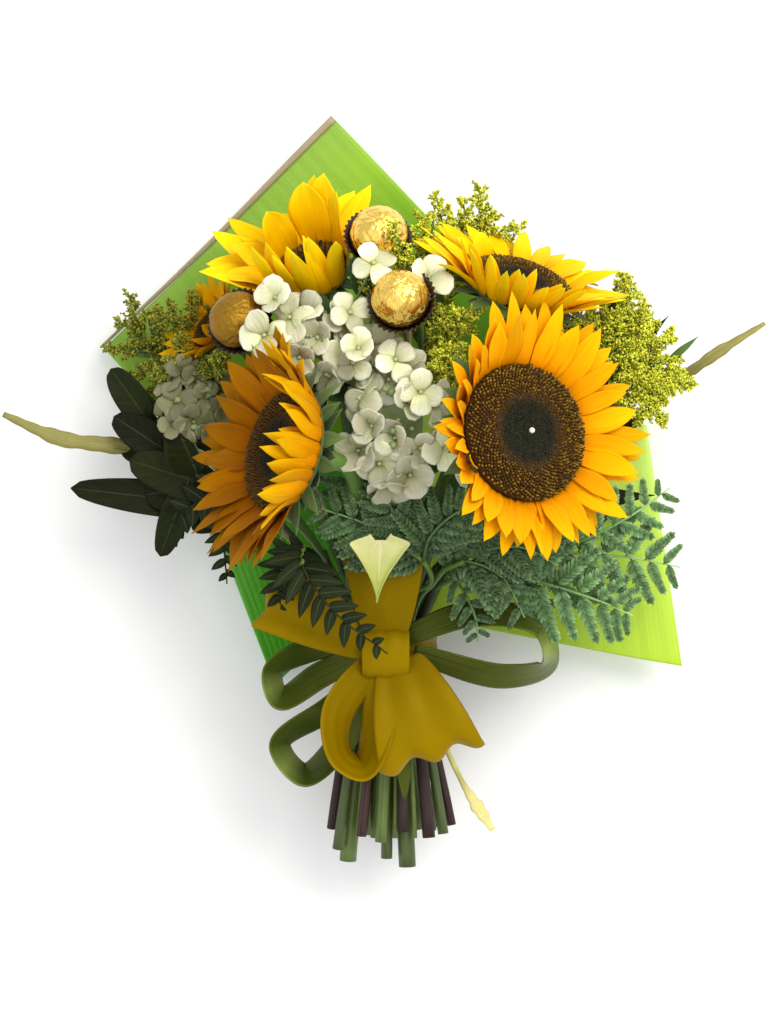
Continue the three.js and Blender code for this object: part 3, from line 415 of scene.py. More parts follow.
directions = unit(np.array([(1, 0, 0), (0, 1, 0), (0, 0, 1), (1, 0, 1), (-1, 0, 1), (1, 1, 0), (-1, 1, 0),
                            (0, 1, 1), (0, -1, 1)], float))


def squarest(spine):
    # for each line the direction, out of a few, that stays most square to it, so that no ring turns over
    off = np.abs(np.einsum("nrc,dc->nrd", along(spine), directions)).max(1)
    return directions[off.argmin(1)][:, None]


def rods(spine, radius, around=8, knots=0.0, seed=1):
    # round closed rods on lines; knots swells and thins them by a slow wave
    n, rows, _ = spine.shape
    draw = np.random.default_rng(seed)
    turn = evenTurns(around)
    v = np.linspace(0, 1, rows)[None, :, None]
    swell = 1 + knots * np.sin(14 * v + draw.uniform(0, 6.28, (n, 1, 1))) * np.cos(2 * turn + 5 * v)
    wide = np.broadcast_to(radius, (n, rows))[:, :, None] * swell
    place = stacked(turn / np.pi - 1, v, draw.uniform(0, 1, (n, 1, 1)))
    return ringed(spine, squarest(spine), wide * np.cos(turn), wide * np.sin(turn), place)


def rod(points, thick, thin, around=8):
    # one rod that thins evenly
    return rods(points[None], np.linspace(thick, thin, len(points))[None], around)


def ball(centre, half, rows=14, around=20):
    # an ellipsoid as rings along its local x
    p = np.linspace(0.02, np.pi - 0.02, rows)[:, None]
    turn = evenTurns(around)
    points = stacked(-np.cos(p), np.sin(p) * np.cos(turn), np.sin(p) * np.sin(turn))
    return (points * half + centre)[None], stacked(turn / np.pi - 1, p / np.pi, 0.5)[None]


def sheetRings(grid, thick):
    # a closed sheet: each row of the grid becomes a ring that runs over its front and back under it
    normal = unit(np.cross(np.gradient(grid, axis=1), np.gradient(grid, axis=0)))
    front, back = grid + normal * thick / 2, grid - normal * thick / 2
    u = np.linspace(-1, 1, grid.shape[1])
    v = np.linspace(0, 1, grid.shape[0])[:, None]
    place = stacked(np.concatenate([u, u[::-1]]), v, 0.5)
    return np.concatenate([front, back[:, ::-1]], axis=1)[None], place[None]


def placed(tubes, centre, axes):
    # from a piece's own axes to the bunch's: x, y and z times their axes, plus centre
    return [(points @ axes + centre, place) for points, place in tubes]


def addPiece(name, tubes, finish, slotName, *nodes):
    # makes one mesh of closed tubes: quads between neighbouring rings and a flat face on each end
    corners, quads, caps, places, start = [], [], [], [], 0
    for points, place in tubes:
        index = start + np.arange(points[..., 0].size).reshape(points.shape[:3])
        over = np.roll(index, -1, axis=2)
        quads.append(np.stack([index[:, :-1], over[:, :-1], over[:, 1:], index[:, 1:]], -1).reshape(-1, 4))
        caps.append(np.concatenate([index[:, 0, ::-1], index[:, -1]]))
        corners.append(points.reshape(-1, 3))
        places.append(place.reshape(-1, 3))
        start += index.size
    quads = np.concatenate(quads)
    loops = np.concatenate([quads.ravel()] + [cap.ravel() for cap in caps])
    sizes = np.concatenate([np.full(len(quads), 4)] + [np.full(len(cap), cap.shape[1]) for cap in caps])
    mesh = bpy.data.meshes.new(name)
    mesh.vertices.add(start)
    mesh.vertices.foreach_set("co", (np.concatenate(corners) * metresPerMm).astype(np.float32).ravel())
    mesh.loops.add(len(loops))
    mesh.loops.foreach_set("vertex_index", loops.astype(np.int32))
    mesh.polygons.add(len(sizes))
    mesh.polygons.foreach_set("loop_start", (np.cumsum(sizes) - sizes).astype(np.int32))
    mesh.polygons.foreach_set("loop_total", sizes.astype(np.int32))
    mesh.polygons.foreach_set("use_smooth", np.arange(len(sizes)) < len(quads))
    attribute = mesh.attributes.new("place", "FLOAT_VECTOR", "POINT")
    attribute.data.foreach_set("vector", np.concatenate(places).astype(np.float32).ravel())
    mesh.update(calc_edges=True)
    mesh.materials.append(finishes[finish])
    piece = bpy.data.objects.new(name, mesh)
    bpy.context.scene.collection.objects.link(piece)
    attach(piece, "root")
    if nodes:
        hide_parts(*nodes)
    return piece


# stems: each keeps its place in the bundle, which fans out and turns below the tie
# wide, high: how far the cut ends fan out; turn: how far the bundle turns down to them
# above, spread: past the tie a stem first runs above further, and out by above / spread of its place
bundle = {"tie": (0, -100, 42), "cutX": 4, "cutY": -218, "cutZ": 38, "wide": 1.72, "high": 1.25,
          "turn": 0.42, "above": 26, "spread": 60}
tieX, tieY, tieZ = bundle["tie"]
# each stem's place at the tie: (across, up) from the tie's middle
stemPlaces = {
    "sunflowerRight": (9, 7), "sunflowerLeft": (-12, 8), "sunflowerTop": (8, -5),
    "sunflowerTopLeft": (-3, -8), "sunflowerBud": (-11, -6.4), "hydrangea": (-3, 5.6),
    "hydrangeaLeft": (-14.4, -0.5), "sweetMiddle": (1.8, 1.2), "sweetTop": (-0.6, -0.6),
    "sweetLeft": (-7.6, -0.6), "goldenrodTop": (2.5, -16.5), "goldenrodRight": (15.4, -2.4),
    "goldenrodLeft": (-9, -15), "fernRight": (17.5, 4.5), "fernMiddle": (8.5, 15.6),
    "fernFront": (14.6, 12.8), "fernLow": (-6, 15), "fernLeft": (-18.4, 4.2), "salal": (-19.2, -2.2),
    "darkLeaves": (11.6, -13.6), "paleLeaf": (1, 15), "twigLeft": (-17.6, -9), "twigRight": (17.4, -8),
}


def stemFoot(place, aim, cutShort=0.0):
    # three points of a stem: its cut end, the tie, and where it starts towards aim
    x, z = stemPlaces[place]
    c, s = math.cos(bundle["turn"]), math.sin(bundle["turn"])
    cut = np.array([tieX + bundle["cutX"] + bundle["wide"] * (c * x - s * z), bundle["cutY"],
                    bundle["cutZ"] + bundle["high"] * (s * x + c * z)])
    tie = np.array([tieX + x, tieY, tieZ + z], float)
    cut += (tie - cut) * cutShort / (tieY - bundle["cutY"])
    above, spread = bundle["above"], bundle["spread"]
    start = tie + np.array([x * above / spread, above, z * above / spread])
    lean = np.clip((aim[1] - tieY) / 400, 0.08, 0.3)
    return [cut, tie, start + (np.asarray(aim) - start) * lean * 0.5]


def stem(place, radius, points, cutShort=0.0, steps=40, around=12, tip=1.0, knots=0.04, seed=1):
    # a rod from the cut end through the tie and every point, thinned to tip times its radius
    route = smoothRoute(stemFoot(place, points[0], cutShort) + list(points), steps)[None]
    return rods(route, radius * np.linspace(1, tip, steps)[None], around, knots, seed)


# the bunch's plain stems, which fill the bundle: (across, up, radius, how much shorter)
plainStems = {
    "bundle_stems_green": ("stem", [
        (-12.5, 15.5, 3.4, -4), (4.8, 19.2, 3.6, 2), (3.2, 10.5, 3.6, -9), (-6, 10.4, 3, 6),
        (8, -18.5, 2.8, 4), (-14, -13.6, 2.8, 0), (20.3, 0.6, 3.2, 5)]),
    "bundle_stems_brown": ("woodyStem", [
        (-18.2, 10, 3.2, 7), (-2.6, 19.4, 3, 5), (12, 17, 3.2, 8), (18.6, 9.6, 3.6, 4),
        (-3.5, -20, 2.6, 3), (-1, -14, 2.6, 0), (21, -6.4, 2.8, 9)]),
}
for name, (finish, places) in plainStems.items():
    tubes = []
    for number, (across, above, radius, shorter) in enumerate(places):
        stemPlaces[name] = (across, above)
        ahead = (across * 1.9, -46 - 2 * number, tieZ + above * 1.6)
        tubes.append(stem(name, radius, [ahead], shorter, 24, 14, 0.35, 0.06, number))
    addPiece(name, tubes, finish, "green_stem")
print("bundle made")


# sunflowers. petal: length; layers: petals in each; wide: half width as a share of the length
# cup: how steeply petals stand, more by lift on the side of toward, less by fall across from it
# curl: how much the raised ones straighten; stretch: longer away from toward; shorter: towards the tie
# bare: a side without petals; aimed: (tip to reach, width)
# shaded: below this share of toward they are a darker piece, painted shade on the side turned from the light
# neck: how far behind the calyx the stem bends away; cut: how much shorter its cut end is
usualBloom = dict(stemWide=5, stretch=0, shorter=0, bare=None, aimed=[], shaded=-2, disc="disc")
sunflowers = {
    "sunflower_right": dict(
        stem="sunflowerRight", neck=26, cut=-14, petal=38, layers=(34, 27), wide=0.175, cup=0.34,
        lift=0.5, fall=0.1, toward=(-1, 0.15, 0), stretch=0.08, shorter=0.17, curl=0.1,
        aimed=[((90, -41, 148), 0.8), ((72, -43, 152), 1.0), ((118, -33, 128), 0.45)],
        finish="petal", seed=3),
    "sunflower_left": dict(
        stem="sunflowerLeft", neck=26, cut=-12, petal=39, layers=(29, 24), wide=0.195, cup=0.6, lift=0.5,
        fall=0.12, toward=(1, 0.1, 0.4), stretch=0.05, curl=0.6,
        aimed=[((-51, 69, 160), 0.9), ((-43, 58, 172), 0.7)],
        finish="petalHalfShade", shaded=0.25, disc="discShade", seed=8),
    "sunflower_top": dict(
        stem="sunflowerTop", neck=24, cut=6, petal=37, layers=(26, 20), wide=0.16, cup=0.5, lift=0.55,
        fall=0.35, toward=(0, -0.3, 1), stretch=0.06, curl=0.1,
        aimed=[((41, 133, 90), 0.55), ((53, 136, 88), 1.1)], finish="petalSun", seed=5),
    "sunflower_top_left": dict(
        stem="sunflowerTopLeft", stemWide=4.4, neck=20, cut=10, petal=46, layers=(15, 11), wide=0.2,
        cup=0.75, lift=0.85, fall=0.7, toward=(0.2, -0.9, 0.6), stretch=0.12, bare=(1, 0.35, 0.2), curl=0.4,
        aimed=[((-34, 168, 98), 1.1), ((-46, 164, 92), 1.2), ((-27, 157, 104), 0.8), ((-40, 169, 86), 1.1),
               ((-67, 147, 92), 1.0), ((-13, 141, 112), 0.75), ((-90, 129, 80), 1.0)],
        finish="petalSun", seed=11),
    "sunflower_bud": dict(
        stem="sunflowerBud", stemWide=3.4, neck=16, cut=14, petal=25, layers=(15, 11), wide=0.19,
        cup=0.75, lift=0, fall=0, toward=(0, 0, 1), curl=0.2,
        finish="petalHalfShade", disc="discShade", seed=21),
}
petalOutline = {"rows": 17, "peak": 0.38, "foot": 0.7, "tip": 0.8}
petalSection = {"fold": 0.3, "thick": 0.7, "around": 14, "ribs": 0.22}
# front: millimetres behind the disc's foot; depth: share of its radius
# bracts, for each row: (share of the radius where they start, pitch, how many)
calyxShape = {"front": 3.5, "depth": 0.42, "bracts": [(0.62, 0.1, 13), (0.86, -0.12, 15)]}
pearlHead = {"high": 8.34, "radius": 1.6}


def axesFacing(out):
    # x square to the bunch's length and to out, y = out cross x, and out
    x = unit(np.cross((0, 1, 0), out))
    return np.array([x, np.cross(out, x), out])


def bloomFrame(node):
    # the middle of the disc's foot, its axes and its radius: a round plate spreads least along its own axis
    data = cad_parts[node].data
    corners = np.empty(len(data.vertices) * 3)
    data.vertices.foreach_get("co", corners)
    corners = corners.reshape(-1, 3) / metresPerMm
    middle = corners.mean(0)
    out = np.linalg.svd(corners - middle)[2][2]
    out = out * np.sign(out[2])
    axes = axesFacing(out)
    own = (corners - middle) @ axes.T
    return middle + out * (own[:, 2].min() - 0.1), axes, np.hypot(own[:, 0], own[:, 1]).max() + 0.35


def petalRing(plan, axes, radius, centre):
    # Layers of petals round the rim, each an even arc, and then the aimed ones, each a parabola from the
    # rim to its tip. Those that face the light and those turned from it come back apart.
    draw = np.random.default_rng(plan["seed"])

    def onDisc(direction):
        # a direction as it lies in the disc's plane
        return unit(axes[:2] @ np.array(direction, float))

    toward, down = onDisc(plan["toward"]), onDisc((0, -1, 0))
    profile = outline(**petalOutline)
    profile[-2:] *= (0.8, 0.5)
    facing, away = [], []
    for layer, count in enumerate(plan["layers"]):
        turn = (np.arange(count) + 0.5 * layer + draw.uniform(-0.16, 0.16, count)) / count * 2 * np.pi
        if plan["bare"]:
            turn = turn[stacked(np.cos(turn), np.sin(turn)) @ onDisc(plan["bare"]) < 0.7]
        n = len(turn)
        ray = stacked(np.cos(turn), np.sin(turn))
        raised = ray @ toward
        root = np.column_stack([ray * (radius + 0.5 - layer), np.full(n, -2.4 + 1.3 * layer)])
        rise = plan["lift"] * np.maximum(raised, 0) + plan["fall"] * np.minimum(raised, 0)
        pitch = np.minimum(plan["cup"] + rise + draw.normal(0, 0.1, n) + 0.13 * layer, 1.5)
        length = plan["petal"] * (1 + draw.normal(0, 0.07, n) - plan["stretch"] * raised)
        length = length * (0.9 if layer else 1) * (1 - plan["shorter"] * np.maximum(ray @ down, 0))
        bend = draw.normal(0.28, 0.2, n) - plan["curl"] * np.maximum(raised, 0)
        sway = draw.normal(0, 0.14, n)
        spine, face = arcs(root, turn, pitch, length, bend, sway, petalOutline["rows"])
        narrow = draw.uniform(0.82, 1.15, n) * (1 - 0.25 * np.maximum(raised, 0))
        wide = plan["petal"] * plan["wide"] * narrow[:, None] * profile
        points, place = blades(spine, face, wide, twist=draw.normal(0, 0.26, n), wave=0.1,
                               seed=plan["seed"] + layer, **petalSection)
        shaded = raised < plan["shaded"]
        facing.append((points[~shaded], place[~shaded]))
        away.append((points[shaded], place[shaded]))
    if plan["aimed"]:
        tips, shares = (np.array(side, float) for side in zip(*plan["aimed"]))
        tips = (tips - centre) @ axes.T
        ray = unit(tips[:, :2])
        root = np.column_stack([ray * (radius - 0.5), np.full(len(ray), -0.6)])
        spine = arched(root, tips, 0.12 * np.linalg.norm(tips - root, axis=1), petalOutline["rows"])
        face = np.column_stack([-0.6 * ray, np.ones(len(ray))])[:, None]
        wide = plan["petal"] * plan["wide"] * 1.15 * shares[:, None] * profile
        facing.append(blades(spine, face, wide, twist=draw.normal(0, 0.3, len(ray)), wave=0.12,
                             seed=plan["seed"] + 9, **petalSection))
    return facing, away


def lathe(profile, count):
    # a profile of (radius, height) turned round the local z
    r, z = (np.array(side, float)[:, None] for side in zip(*profile))
    turn = evenTurns(count)
    return stacked(r * np.cos(turn), r * np.sin(turn), z)[None]


def seedHead(radius, seed):
    # Florets on the spiral of seeds over a dome: number k sits at radius * sqrt(k / n), turned by k golden
    # angles. The place holds how far out it is, how far up it, and its own random number.
    draw = np.random.default_rng(seed)
    count = int(radius ** 2)
    k = np.arange(count) + 0.5
    r, turn = (radius - 1.2) * np.sqrt(k / count), k * np.radians(137.508)
    far = r / radius

    def dome(r):
        # 1.2 high in the middle and at the rim, with a ring-shaped swell between them, as a sine
        return 1.2 + 0.13 * radius * np.sin(np.pi * (1 - np.minimum(r / radius, 1)) ** 0.7)

    opened = eased(far, 0.5, 0.62)
    size = 0.5 + 0.3 * opened + draw.uniform(-0.08, 0.08, count)
    tall = 1.0 + 1.1 * opened + draw.uniform(0, 0.8, count)
    foot = stacked(r * np.cos(turn), r * np.sin(turn), dome(r) - 0.5)
    foot[:, :2] += draw.normal(0, 0.16, (count, 2))
    lean = stacked(np.cos(turn), np.sin(turn), 0) * (0.5 * far ** 2)[:, None]
    lean = unit(lean + draw.normal(0, 0.1, (count, 3)) + up)
    s = np.linspace(0, 1, 4)[:, None]
    points, _ = rods(foot[:, None] + (lean * tall[:, None])[:, None] * s,
                     size[:, None] * np.array([0.9, 1.0, 0.85, 0.4]), 5)
    place = stacked(far[:, None, None], s, draw.uniform(0, 1, (count, 1, 1)))
    rim = radius - 0.4
    ringR = np.concatenate([[0.5], np.linspace(0.5, 1, 4) * rim, np.linspace(1, 0.02, 14) * rim])
    bowl = lathe(zip(ringR, np.concatenate([np.full(5, 0.1), dome(ringR[5:])])), 48)
    bowlPlace = stacked(ringR[:, None] / radius, 0, 0.5)[None]
    return [(points, np.broadcast_to(place, points.shape)),
            (bowl, np.broadcast_to(bowlPlace, bowl.shape))]


def calyx(radius, stemWide, seed):
    # a shallow bowl behind the disc, turned from a profile, with rows of pointed bracts bent as arcs
    draw = np.random.default_rng(seed)
    front, depth = -calyxShape["front"], calyxShape["depth"] * radius
    bowl = lathe([(0.4, front - depth), (stemWide + 1.5, front - depth),
                  (radius * 0.62, front - depth * 0.6), (radius * 0.85, front - depth * 0.3),
                  (radius + 0.5, front - 0.1), (radius * 0.9, front), (0.4, front)], 32)
    found = [(bowl, np.full(bowl.shape, 0.4))]
    for layer, (out, pitch, count) in enumerate(calyxShape["bracts"]):
        turn = (np.arange(count) + 0.4 * layer + draw.uniform(-0.2, 0.2, count)) / count * 2 * np.pi
        root = stacked(np.cos(turn) * radius * out, np.sin(turn) * radius * out,
                       front - 0.3 - depth * (0.55 - 0.5 * layer))
        length = radius * draw.uniform(0.5, 0.68, count)
        spine, face = arcs(root, turn, np.full(count, pitch), length, draw.normal(0.1, 0.25, count),
                           draw.normal(0, 0.15, count), 9)
        found.append(blades(spine, face, radius * 0.15 * outline(9, 0.3, 0.8, 1.3), fold=0.3, thick=0.8,
                            around=8, seed=seed + layer))
    return found


def discFinish(name, light):
    # Colour by how far out the floret sits: green-black buds, a ring dusted with pollen, then brown open
    # florets, and each floret is lighter at its top, some of them golden.
    material, surface = newFinish(name)
    out, high, own = placeOn(material)
    dark = colourRamp(material, out, {0: (0.01, 0.012, 0.004), 0.4: (0.01, 0.009, 0.003),
                                      0.6: (0.06, 0.027, 0.003), 1: (0.05, 0.024, 0.002)})
    bright = colourRamp(material, out, lit(light, {
        0: (0.06, 0.07, 0.02), 0.4: (0.05, 0.042, 0.012), 0.6: (0.3, 0.15, 0.01), 0.8: (0.3, 0.16, 0.012),
        1: (0.45, 0.26, 0.022)}))
    dusted = arithmetic(material, "MULTIPLY", arithmetic(material, "POWER", own, 1.8), high)
    colour = mixed(material, dusted, dark, bright)
    return closeFinish(material, surface, colour, bodyNoise(material, 900.0, 2.0), 0.4, Roughness=0.8,
                       Specular_IOR_Level=0.2)


# discShade: the same disc darker, painted shade on blooms turned from the light
for name, light in {"disc": 1.0, "discShade": 0.4}.items():
    finishes[name] = discFinish(name, light)
for name, own in sunflowers.items():
    plan = {**usualBloom, **own}
    centre, axes, radius = bloomFrame(name + "_disc")
    facing, away = petalRing(plan, axes, radius, centre)
    addPiece(name + "_ray_petals", placed(facing, centre, axes), plan["finish"], "petal", name + "_petals")
    if "shaded" in own:
        addPiece(name + "_shaded_petals", placed(away, centre, axes), "petalShade", "petal",
                 name + "_petals")
    addPiece(name + "_seed_head", placed(seedHead(radius, plan["seed"]), centre, axes), plan["disc"],
             "disc", name + "_disc")
    depth = calyxShape["depth"] * radius
    back = centre - axes[2] * (calyxShape["front"] + depth * 0.75)
    behind = centre - axes[2] * (calyxShape["front"] + depth + plan["neck"])
    stalk = stem(plan["stem"], plan["stemWide"], [behind, back], plan["cut"], 60, 16, knots=0.03,
                 seed=plan["seed"])
    addPiece(name + "_calyx", placed(calyx(radius, plan["stemWide"], plan["seed"]), centre, axes), "calyx",
             "green_stem", name + "_stem")
    addPiece(name + "_stalk", [stalk], "stem", "green_stem", name + "_stem")
    if name == "sunflower_right":
        pearl = ball(pearlHead["high"] * up, pearlHead["radius"], 20, 24)
        addPiece("pearl_head", placed([pearl], centre, axes), "pearl", "pearl", "pearl_pin")
print("sunflowers made")


# hydrangea. cores: (centre, half sizes, florets on it); extra: florets on longer stalks
# leaves: (root, tip, half width); extraFinish: the extra florets' finish, hydrangeaSun as painted light
hydrangeas = {
    "hydrangea": dict(
        cores=[((-28, 71, 113), (26, 15, 12), 9), ((6, 26, 116), (22, 33, 12), 15),
               ((-9, 54, 113), (16, 18, 10), 5)],
        extra=[(-19, 86, 131), (-6, 113, 134), (24, 105, 129), (-52, 84, 126), (-66, 74, 125),
               (-60, 95, 119), (44, 1, 128), (34, 12, 127), (-14, 66, 131), (20, 42, 133), (6, 60, 131)],
        leaves=[((0, 0, 92), (-32, 16, 98), 13), ((4, -6, 90), (-24, -24, 92), 11),
                ((8, 2, 94), (40, 14, 103), 12), ((-8, 56, 100), (-42, 44, 101), 12),
                ((0, 84, 98), (34, 102, 100), 12), ((-24, 78, 98), (-64, 106, 92), 13),
                ((2, 8, 96), (20, -18, 106), 11), ((0, 90, 98), (-16, 122, 106), 11)],
        sepal=14.2, stem="hydrangea", stemWide=3.6, cut=2, via=[(2, -6, 92), (4, 18, 100.5)], buds=39,
        finish="hydrangea", extraFinish="hydrangeaSun", seed=2),
    "hydrangea_left": dict(
        cores=[((-110, 37, 60), (15, 17, 10), 11)], extra=[(-116, 58, 66)],
        leaves=[((-104, 30, 50), (-134, 52, 52), 10)], sepal=11.5, stem="hydrangeaLeft", stemWide=2.6,
        cut=8, via=[(-84, 14, 42), (-106, 33, 48.5)], buds=8, finish="hydrangeaShade",
        extraFinish="hydrangeaShade", seed=6),
}
floretShape = {"stalk": 14, "stalkWide": 0.8, "eye": 1.3, "eyeHigh": 1.2, "sepalWide": 0.5}


def turnedTo(out, spin):
    # the axes of small frames that look along out and are turned about it by spin
    helper = np.where(np.abs(out[:, :1]) > 0.8, [[0.0, 1.0, 0.0]], [[1.0, 0.0, 0.0]])
    x = unit(np.cross(helper, out))
    y = np.cross(out, x)
    c, s = np.cos(spin)[:, None], np.sin(spin)[:, None]
    return np.stack([c * x + s * y, c * y - s * x, out], 1)


def hydrangeaFlorets(plan):
    # Florets by golden angles over each core, and extra ones on longer stalks. Each has four cupped sepals,
    # and a stalk that leaves the middle of the nearest core.
    draw = np.random.default_rng(plan["seed"])
    centres, outs, feet = [], [], []
    for centre, half, count in plan["cores"]:
        k = np.arange(count) + 0.5
        high, turn = 1 - 1.02 * k / count, 2.39996 * k + draw.uniform(0, 6)
        level = np.sqrt(1 - high ** 2)
        on = stacked(level * np.cos(turn), level * np.sin(turn), high)
        outs.append(unit(unit(on / half) + draw.normal(0, 0.26, (count, 3)) + 0.4 * up))
        centres.append(on * half * 1.02 + centre + outs[-1] * draw.uniform(0, 6.5, (count, 1)))
        feet.append(centres[-1] - outs[-1] * floretShape["stalk"])
    extra = np.array(plan["extra"], float)
    middles = np.array([centre for centre, _, _ in plan["cores"]], float)
    nearest = middles[np.linalg.norm(extra[:, None] - middles[None], axis=2).argmin(1)]
    outs.append(unit(unit(extra - nearest) * 0.5 + up + draw.normal(0, 0.16, extra.shape)))
    centres, outs, feet = (np.concatenate(side) for side in (centres + [extra], outs, feet + [nearest]))
    axes = np.repeat(turnedTo(outs, draw.uniform(0, 6.28, len(outs))), 4, 0)
    n = len(axes)
    heading = np.tile(np.arange(4) * np.pi / 2, len(outs)) + draw.normal(0, 0.1, n)
    pitch = np.repeat(draw.uniform(0.1, 1.0, len(outs)), 4) + draw.normal(0, 0.2, n)
    size = np.repeat(draw.uniform(0.84, 1.14, len(outs)), 4) * draw.uniform(0.9, 1.08, n)
    root = stacked(np.cos(heading) * 0.6, np.sin(heading) * 0.6, np.arange(n) % 2 * 0.5)
    spine, face = arcs(root, heading, pitch, plan["sepal"] * size, draw.normal(0.85, 0.25, n),
                       draw.normal(0, 0.1, n), 9)
    wide = plan["sepal"] * floretShape["sepalWide"] * outline(9, 0.6, 0.28, 0.5) * size[:, None]
    sepals = blades(spine @ axes + np.repeat(centres, 4, 0)[:, None], face @ axes, wide, fold=0.14,
                    thick=0.5, around=12, twist=draw.normal(0, 0.2, n), wave=0.16, ribs=0.16,
                    seed=plan["seed"])
    high, eye = floretShape["eyeHigh"], floretShape["eye"]
    eyes = [ball(centre + out * high, eye, 6, 8) for centre, out in zip(centres, outs)]
    bend = centres - outs * (0.5 * np.linalg.norm(centres - feet, axis=1)[:, None])
    stalks = bowed(feet[:, None], bend[:, None], centres[:, None], np.linspace(0, 1, 6)[:, None])
    return sepals, eyes, rods(stalks, floretShape["stalkWide"], 6)


def hydrangeaBuds(plan):
    # small closed buds on short stalks, scattered over the cores by normal draws about the top
    draw = np.random.default_rng(plan["seed"] + 50)
    found = []
    for centre, half, _ in plan["cores"]:
        for _ in range(plan["buds"] // len(plan["cores"])):
            out = unit(np.array([*draw.normal(0, 0.55, 2), 1.0]))
            at = out * half * 1.1 + centre + out * draw.uniform(0, 5)
            found.append(ball(at, draw.uniform(1.1, 2.4), 6, 8))
            found.append(rods(np.stack([at - out * 10, at])[None], 0.5, 5))
    return found


def broadLeaves(leaves, seed):
    # broad leaves from root to tip as parabolas that rise by a ninth of their length
    root, tip, half = (np.array(side, float) for side in zip(*leaves))
    lines = arched(root, tip, np.linalg.norm(tip - root, axis=1) / 9, 21)
    return blades(lines, leafUp, half[:, None] * outline(21, 0.5, 0.12, 0.8), fold=0.25, thick=0.8,
                  around=16, ribs=0.2, wave=0.12, seed=seed)


for name, plan in hydrangeas.items():
    sepals, eyes, stalks = hydrangeaFlorets(plan)
    deep = 4 * (len(sepals[0]) // 4 - len(plan["extra"]))
    inner, outer = [side[:deep] for side in sepals], [side[deep:] for side in sepals]
    addPiece(name + "_sepals", [inner, *eyes], plan["finish"], "hydrangea", name + "_florets")
    addPiece(name + "_long_sepals", [outer], plan["extraFinish"], "hydrangea", name + "_florets")
    cores = [ball(np.array(centre), np.array(half) * 0.72) for centre, half, _ in plan["cores"]]
    addPiece(name + "_stalks", [stalks, *cores, *hydrangeaBuds(plan)], "budGreen", "hydrangea",
             name + "_florets")
    addPiece(name + "_leaves", [broadLeaves(plan["leaves"], plan["seed"])], "hydrangeaLeaf", "green_stem",
             name + "_stem")
    addPiece(name + "_stalk", [stem(plan["stem"], plan["stemWide"], plan["via"], plan["cut"])], "stem",
             "green_stem", name + "_stem")
print("hydrangea made")


# goldenrod: a forking stem, arching plumes with branchlets, and rows of tiny buds on them
# sprays: (points beyond the fork, plumes, their reach); twigs: branchlets on each plume
goldenrods = {
    "goldenrod_top": dict(
        stem="goldenrodTop", fork=(24, 56, 50), twigs=21, finish="goldenrod", seed=4,
        sprays=[([(28, 108, 44), (46, 150, 50)], 8, 34), ([(32, 66, 96), (40, 88, 120)], 6, 26),
                ([(38, 112, 48), (64, 150, 56)], 9, 32), ([(10, 80, 92), (-16, 110, 118)], 2, 16),
                ([(36, 50, 98), (27, 58, 126)], 6, 22), ([(20, 90, 70), (28, 140, 106)], 5, 26),
                ([(36, 46, 96), (43, 66, 121)], 5, 22), ([(17, 98, 104), (5, 134, 141)], 3, 15)]),
    "goldenrod_right": dict(
        stem="goldenrodRight", fork=(112, 46, 66), twigs=32, finish="goldenrod", seed=7,
        sprays=[([(134, 58, 78), (168, 62, 82)], 6, 27), ([(124, 76, 70), (146, 104, 66)], 5, 21),
                ([(136, 44, 82), (160, 40, 84)], 5, 22), ([(128, 66, 80), (156, 86, 74)], 5, 20),
                ([(116, 64, 72), (108, 86, 84)], 5, 20)]),
    "goldenrod_left": dict(
        stem="goldenrodLeft", fork=(-78, 40, 28), twigs=24, finish="goldenrodShade", seed=9,
        sprays=[([(-118, 62, 24), (-158, 90, 32)], 6, 30), ([(-108, 44, 30), (-144, 46, 42)], 5, 28),
                ([(-104, 70, 34), (-128, 98, 40)], 5, 26), ([(-98, 54, 60), (-93, 66, 100)], 4, 20),
                ([(-104, 46, 50), (-124, 66, 66)], 6, 24)]),
}
goldenrodShape = {"twigLong": 10.5, "twigWide": 0.22, "budsOnTwig": 12, "budLong": (1.5, 2.7),
                  "budWide": (0.25, 0.75, 0.2), "leaves": 14, "leafLong": (16, 26), "leafWide": 2.3}


def sidewards(ahead):
    # level and square to ahead, left and right in turn
    return np.cross(ahead, up) * np.where(np.arange(len(ahead)) % 2, 1, -1)[:, None]


def allRound(draw, ahead, raised):
    # square to ahead in random directions, somewhat upwards
    return unit(np.cross(ahead, draw.normal(0, 1, ahead.shape)) + raised * up)


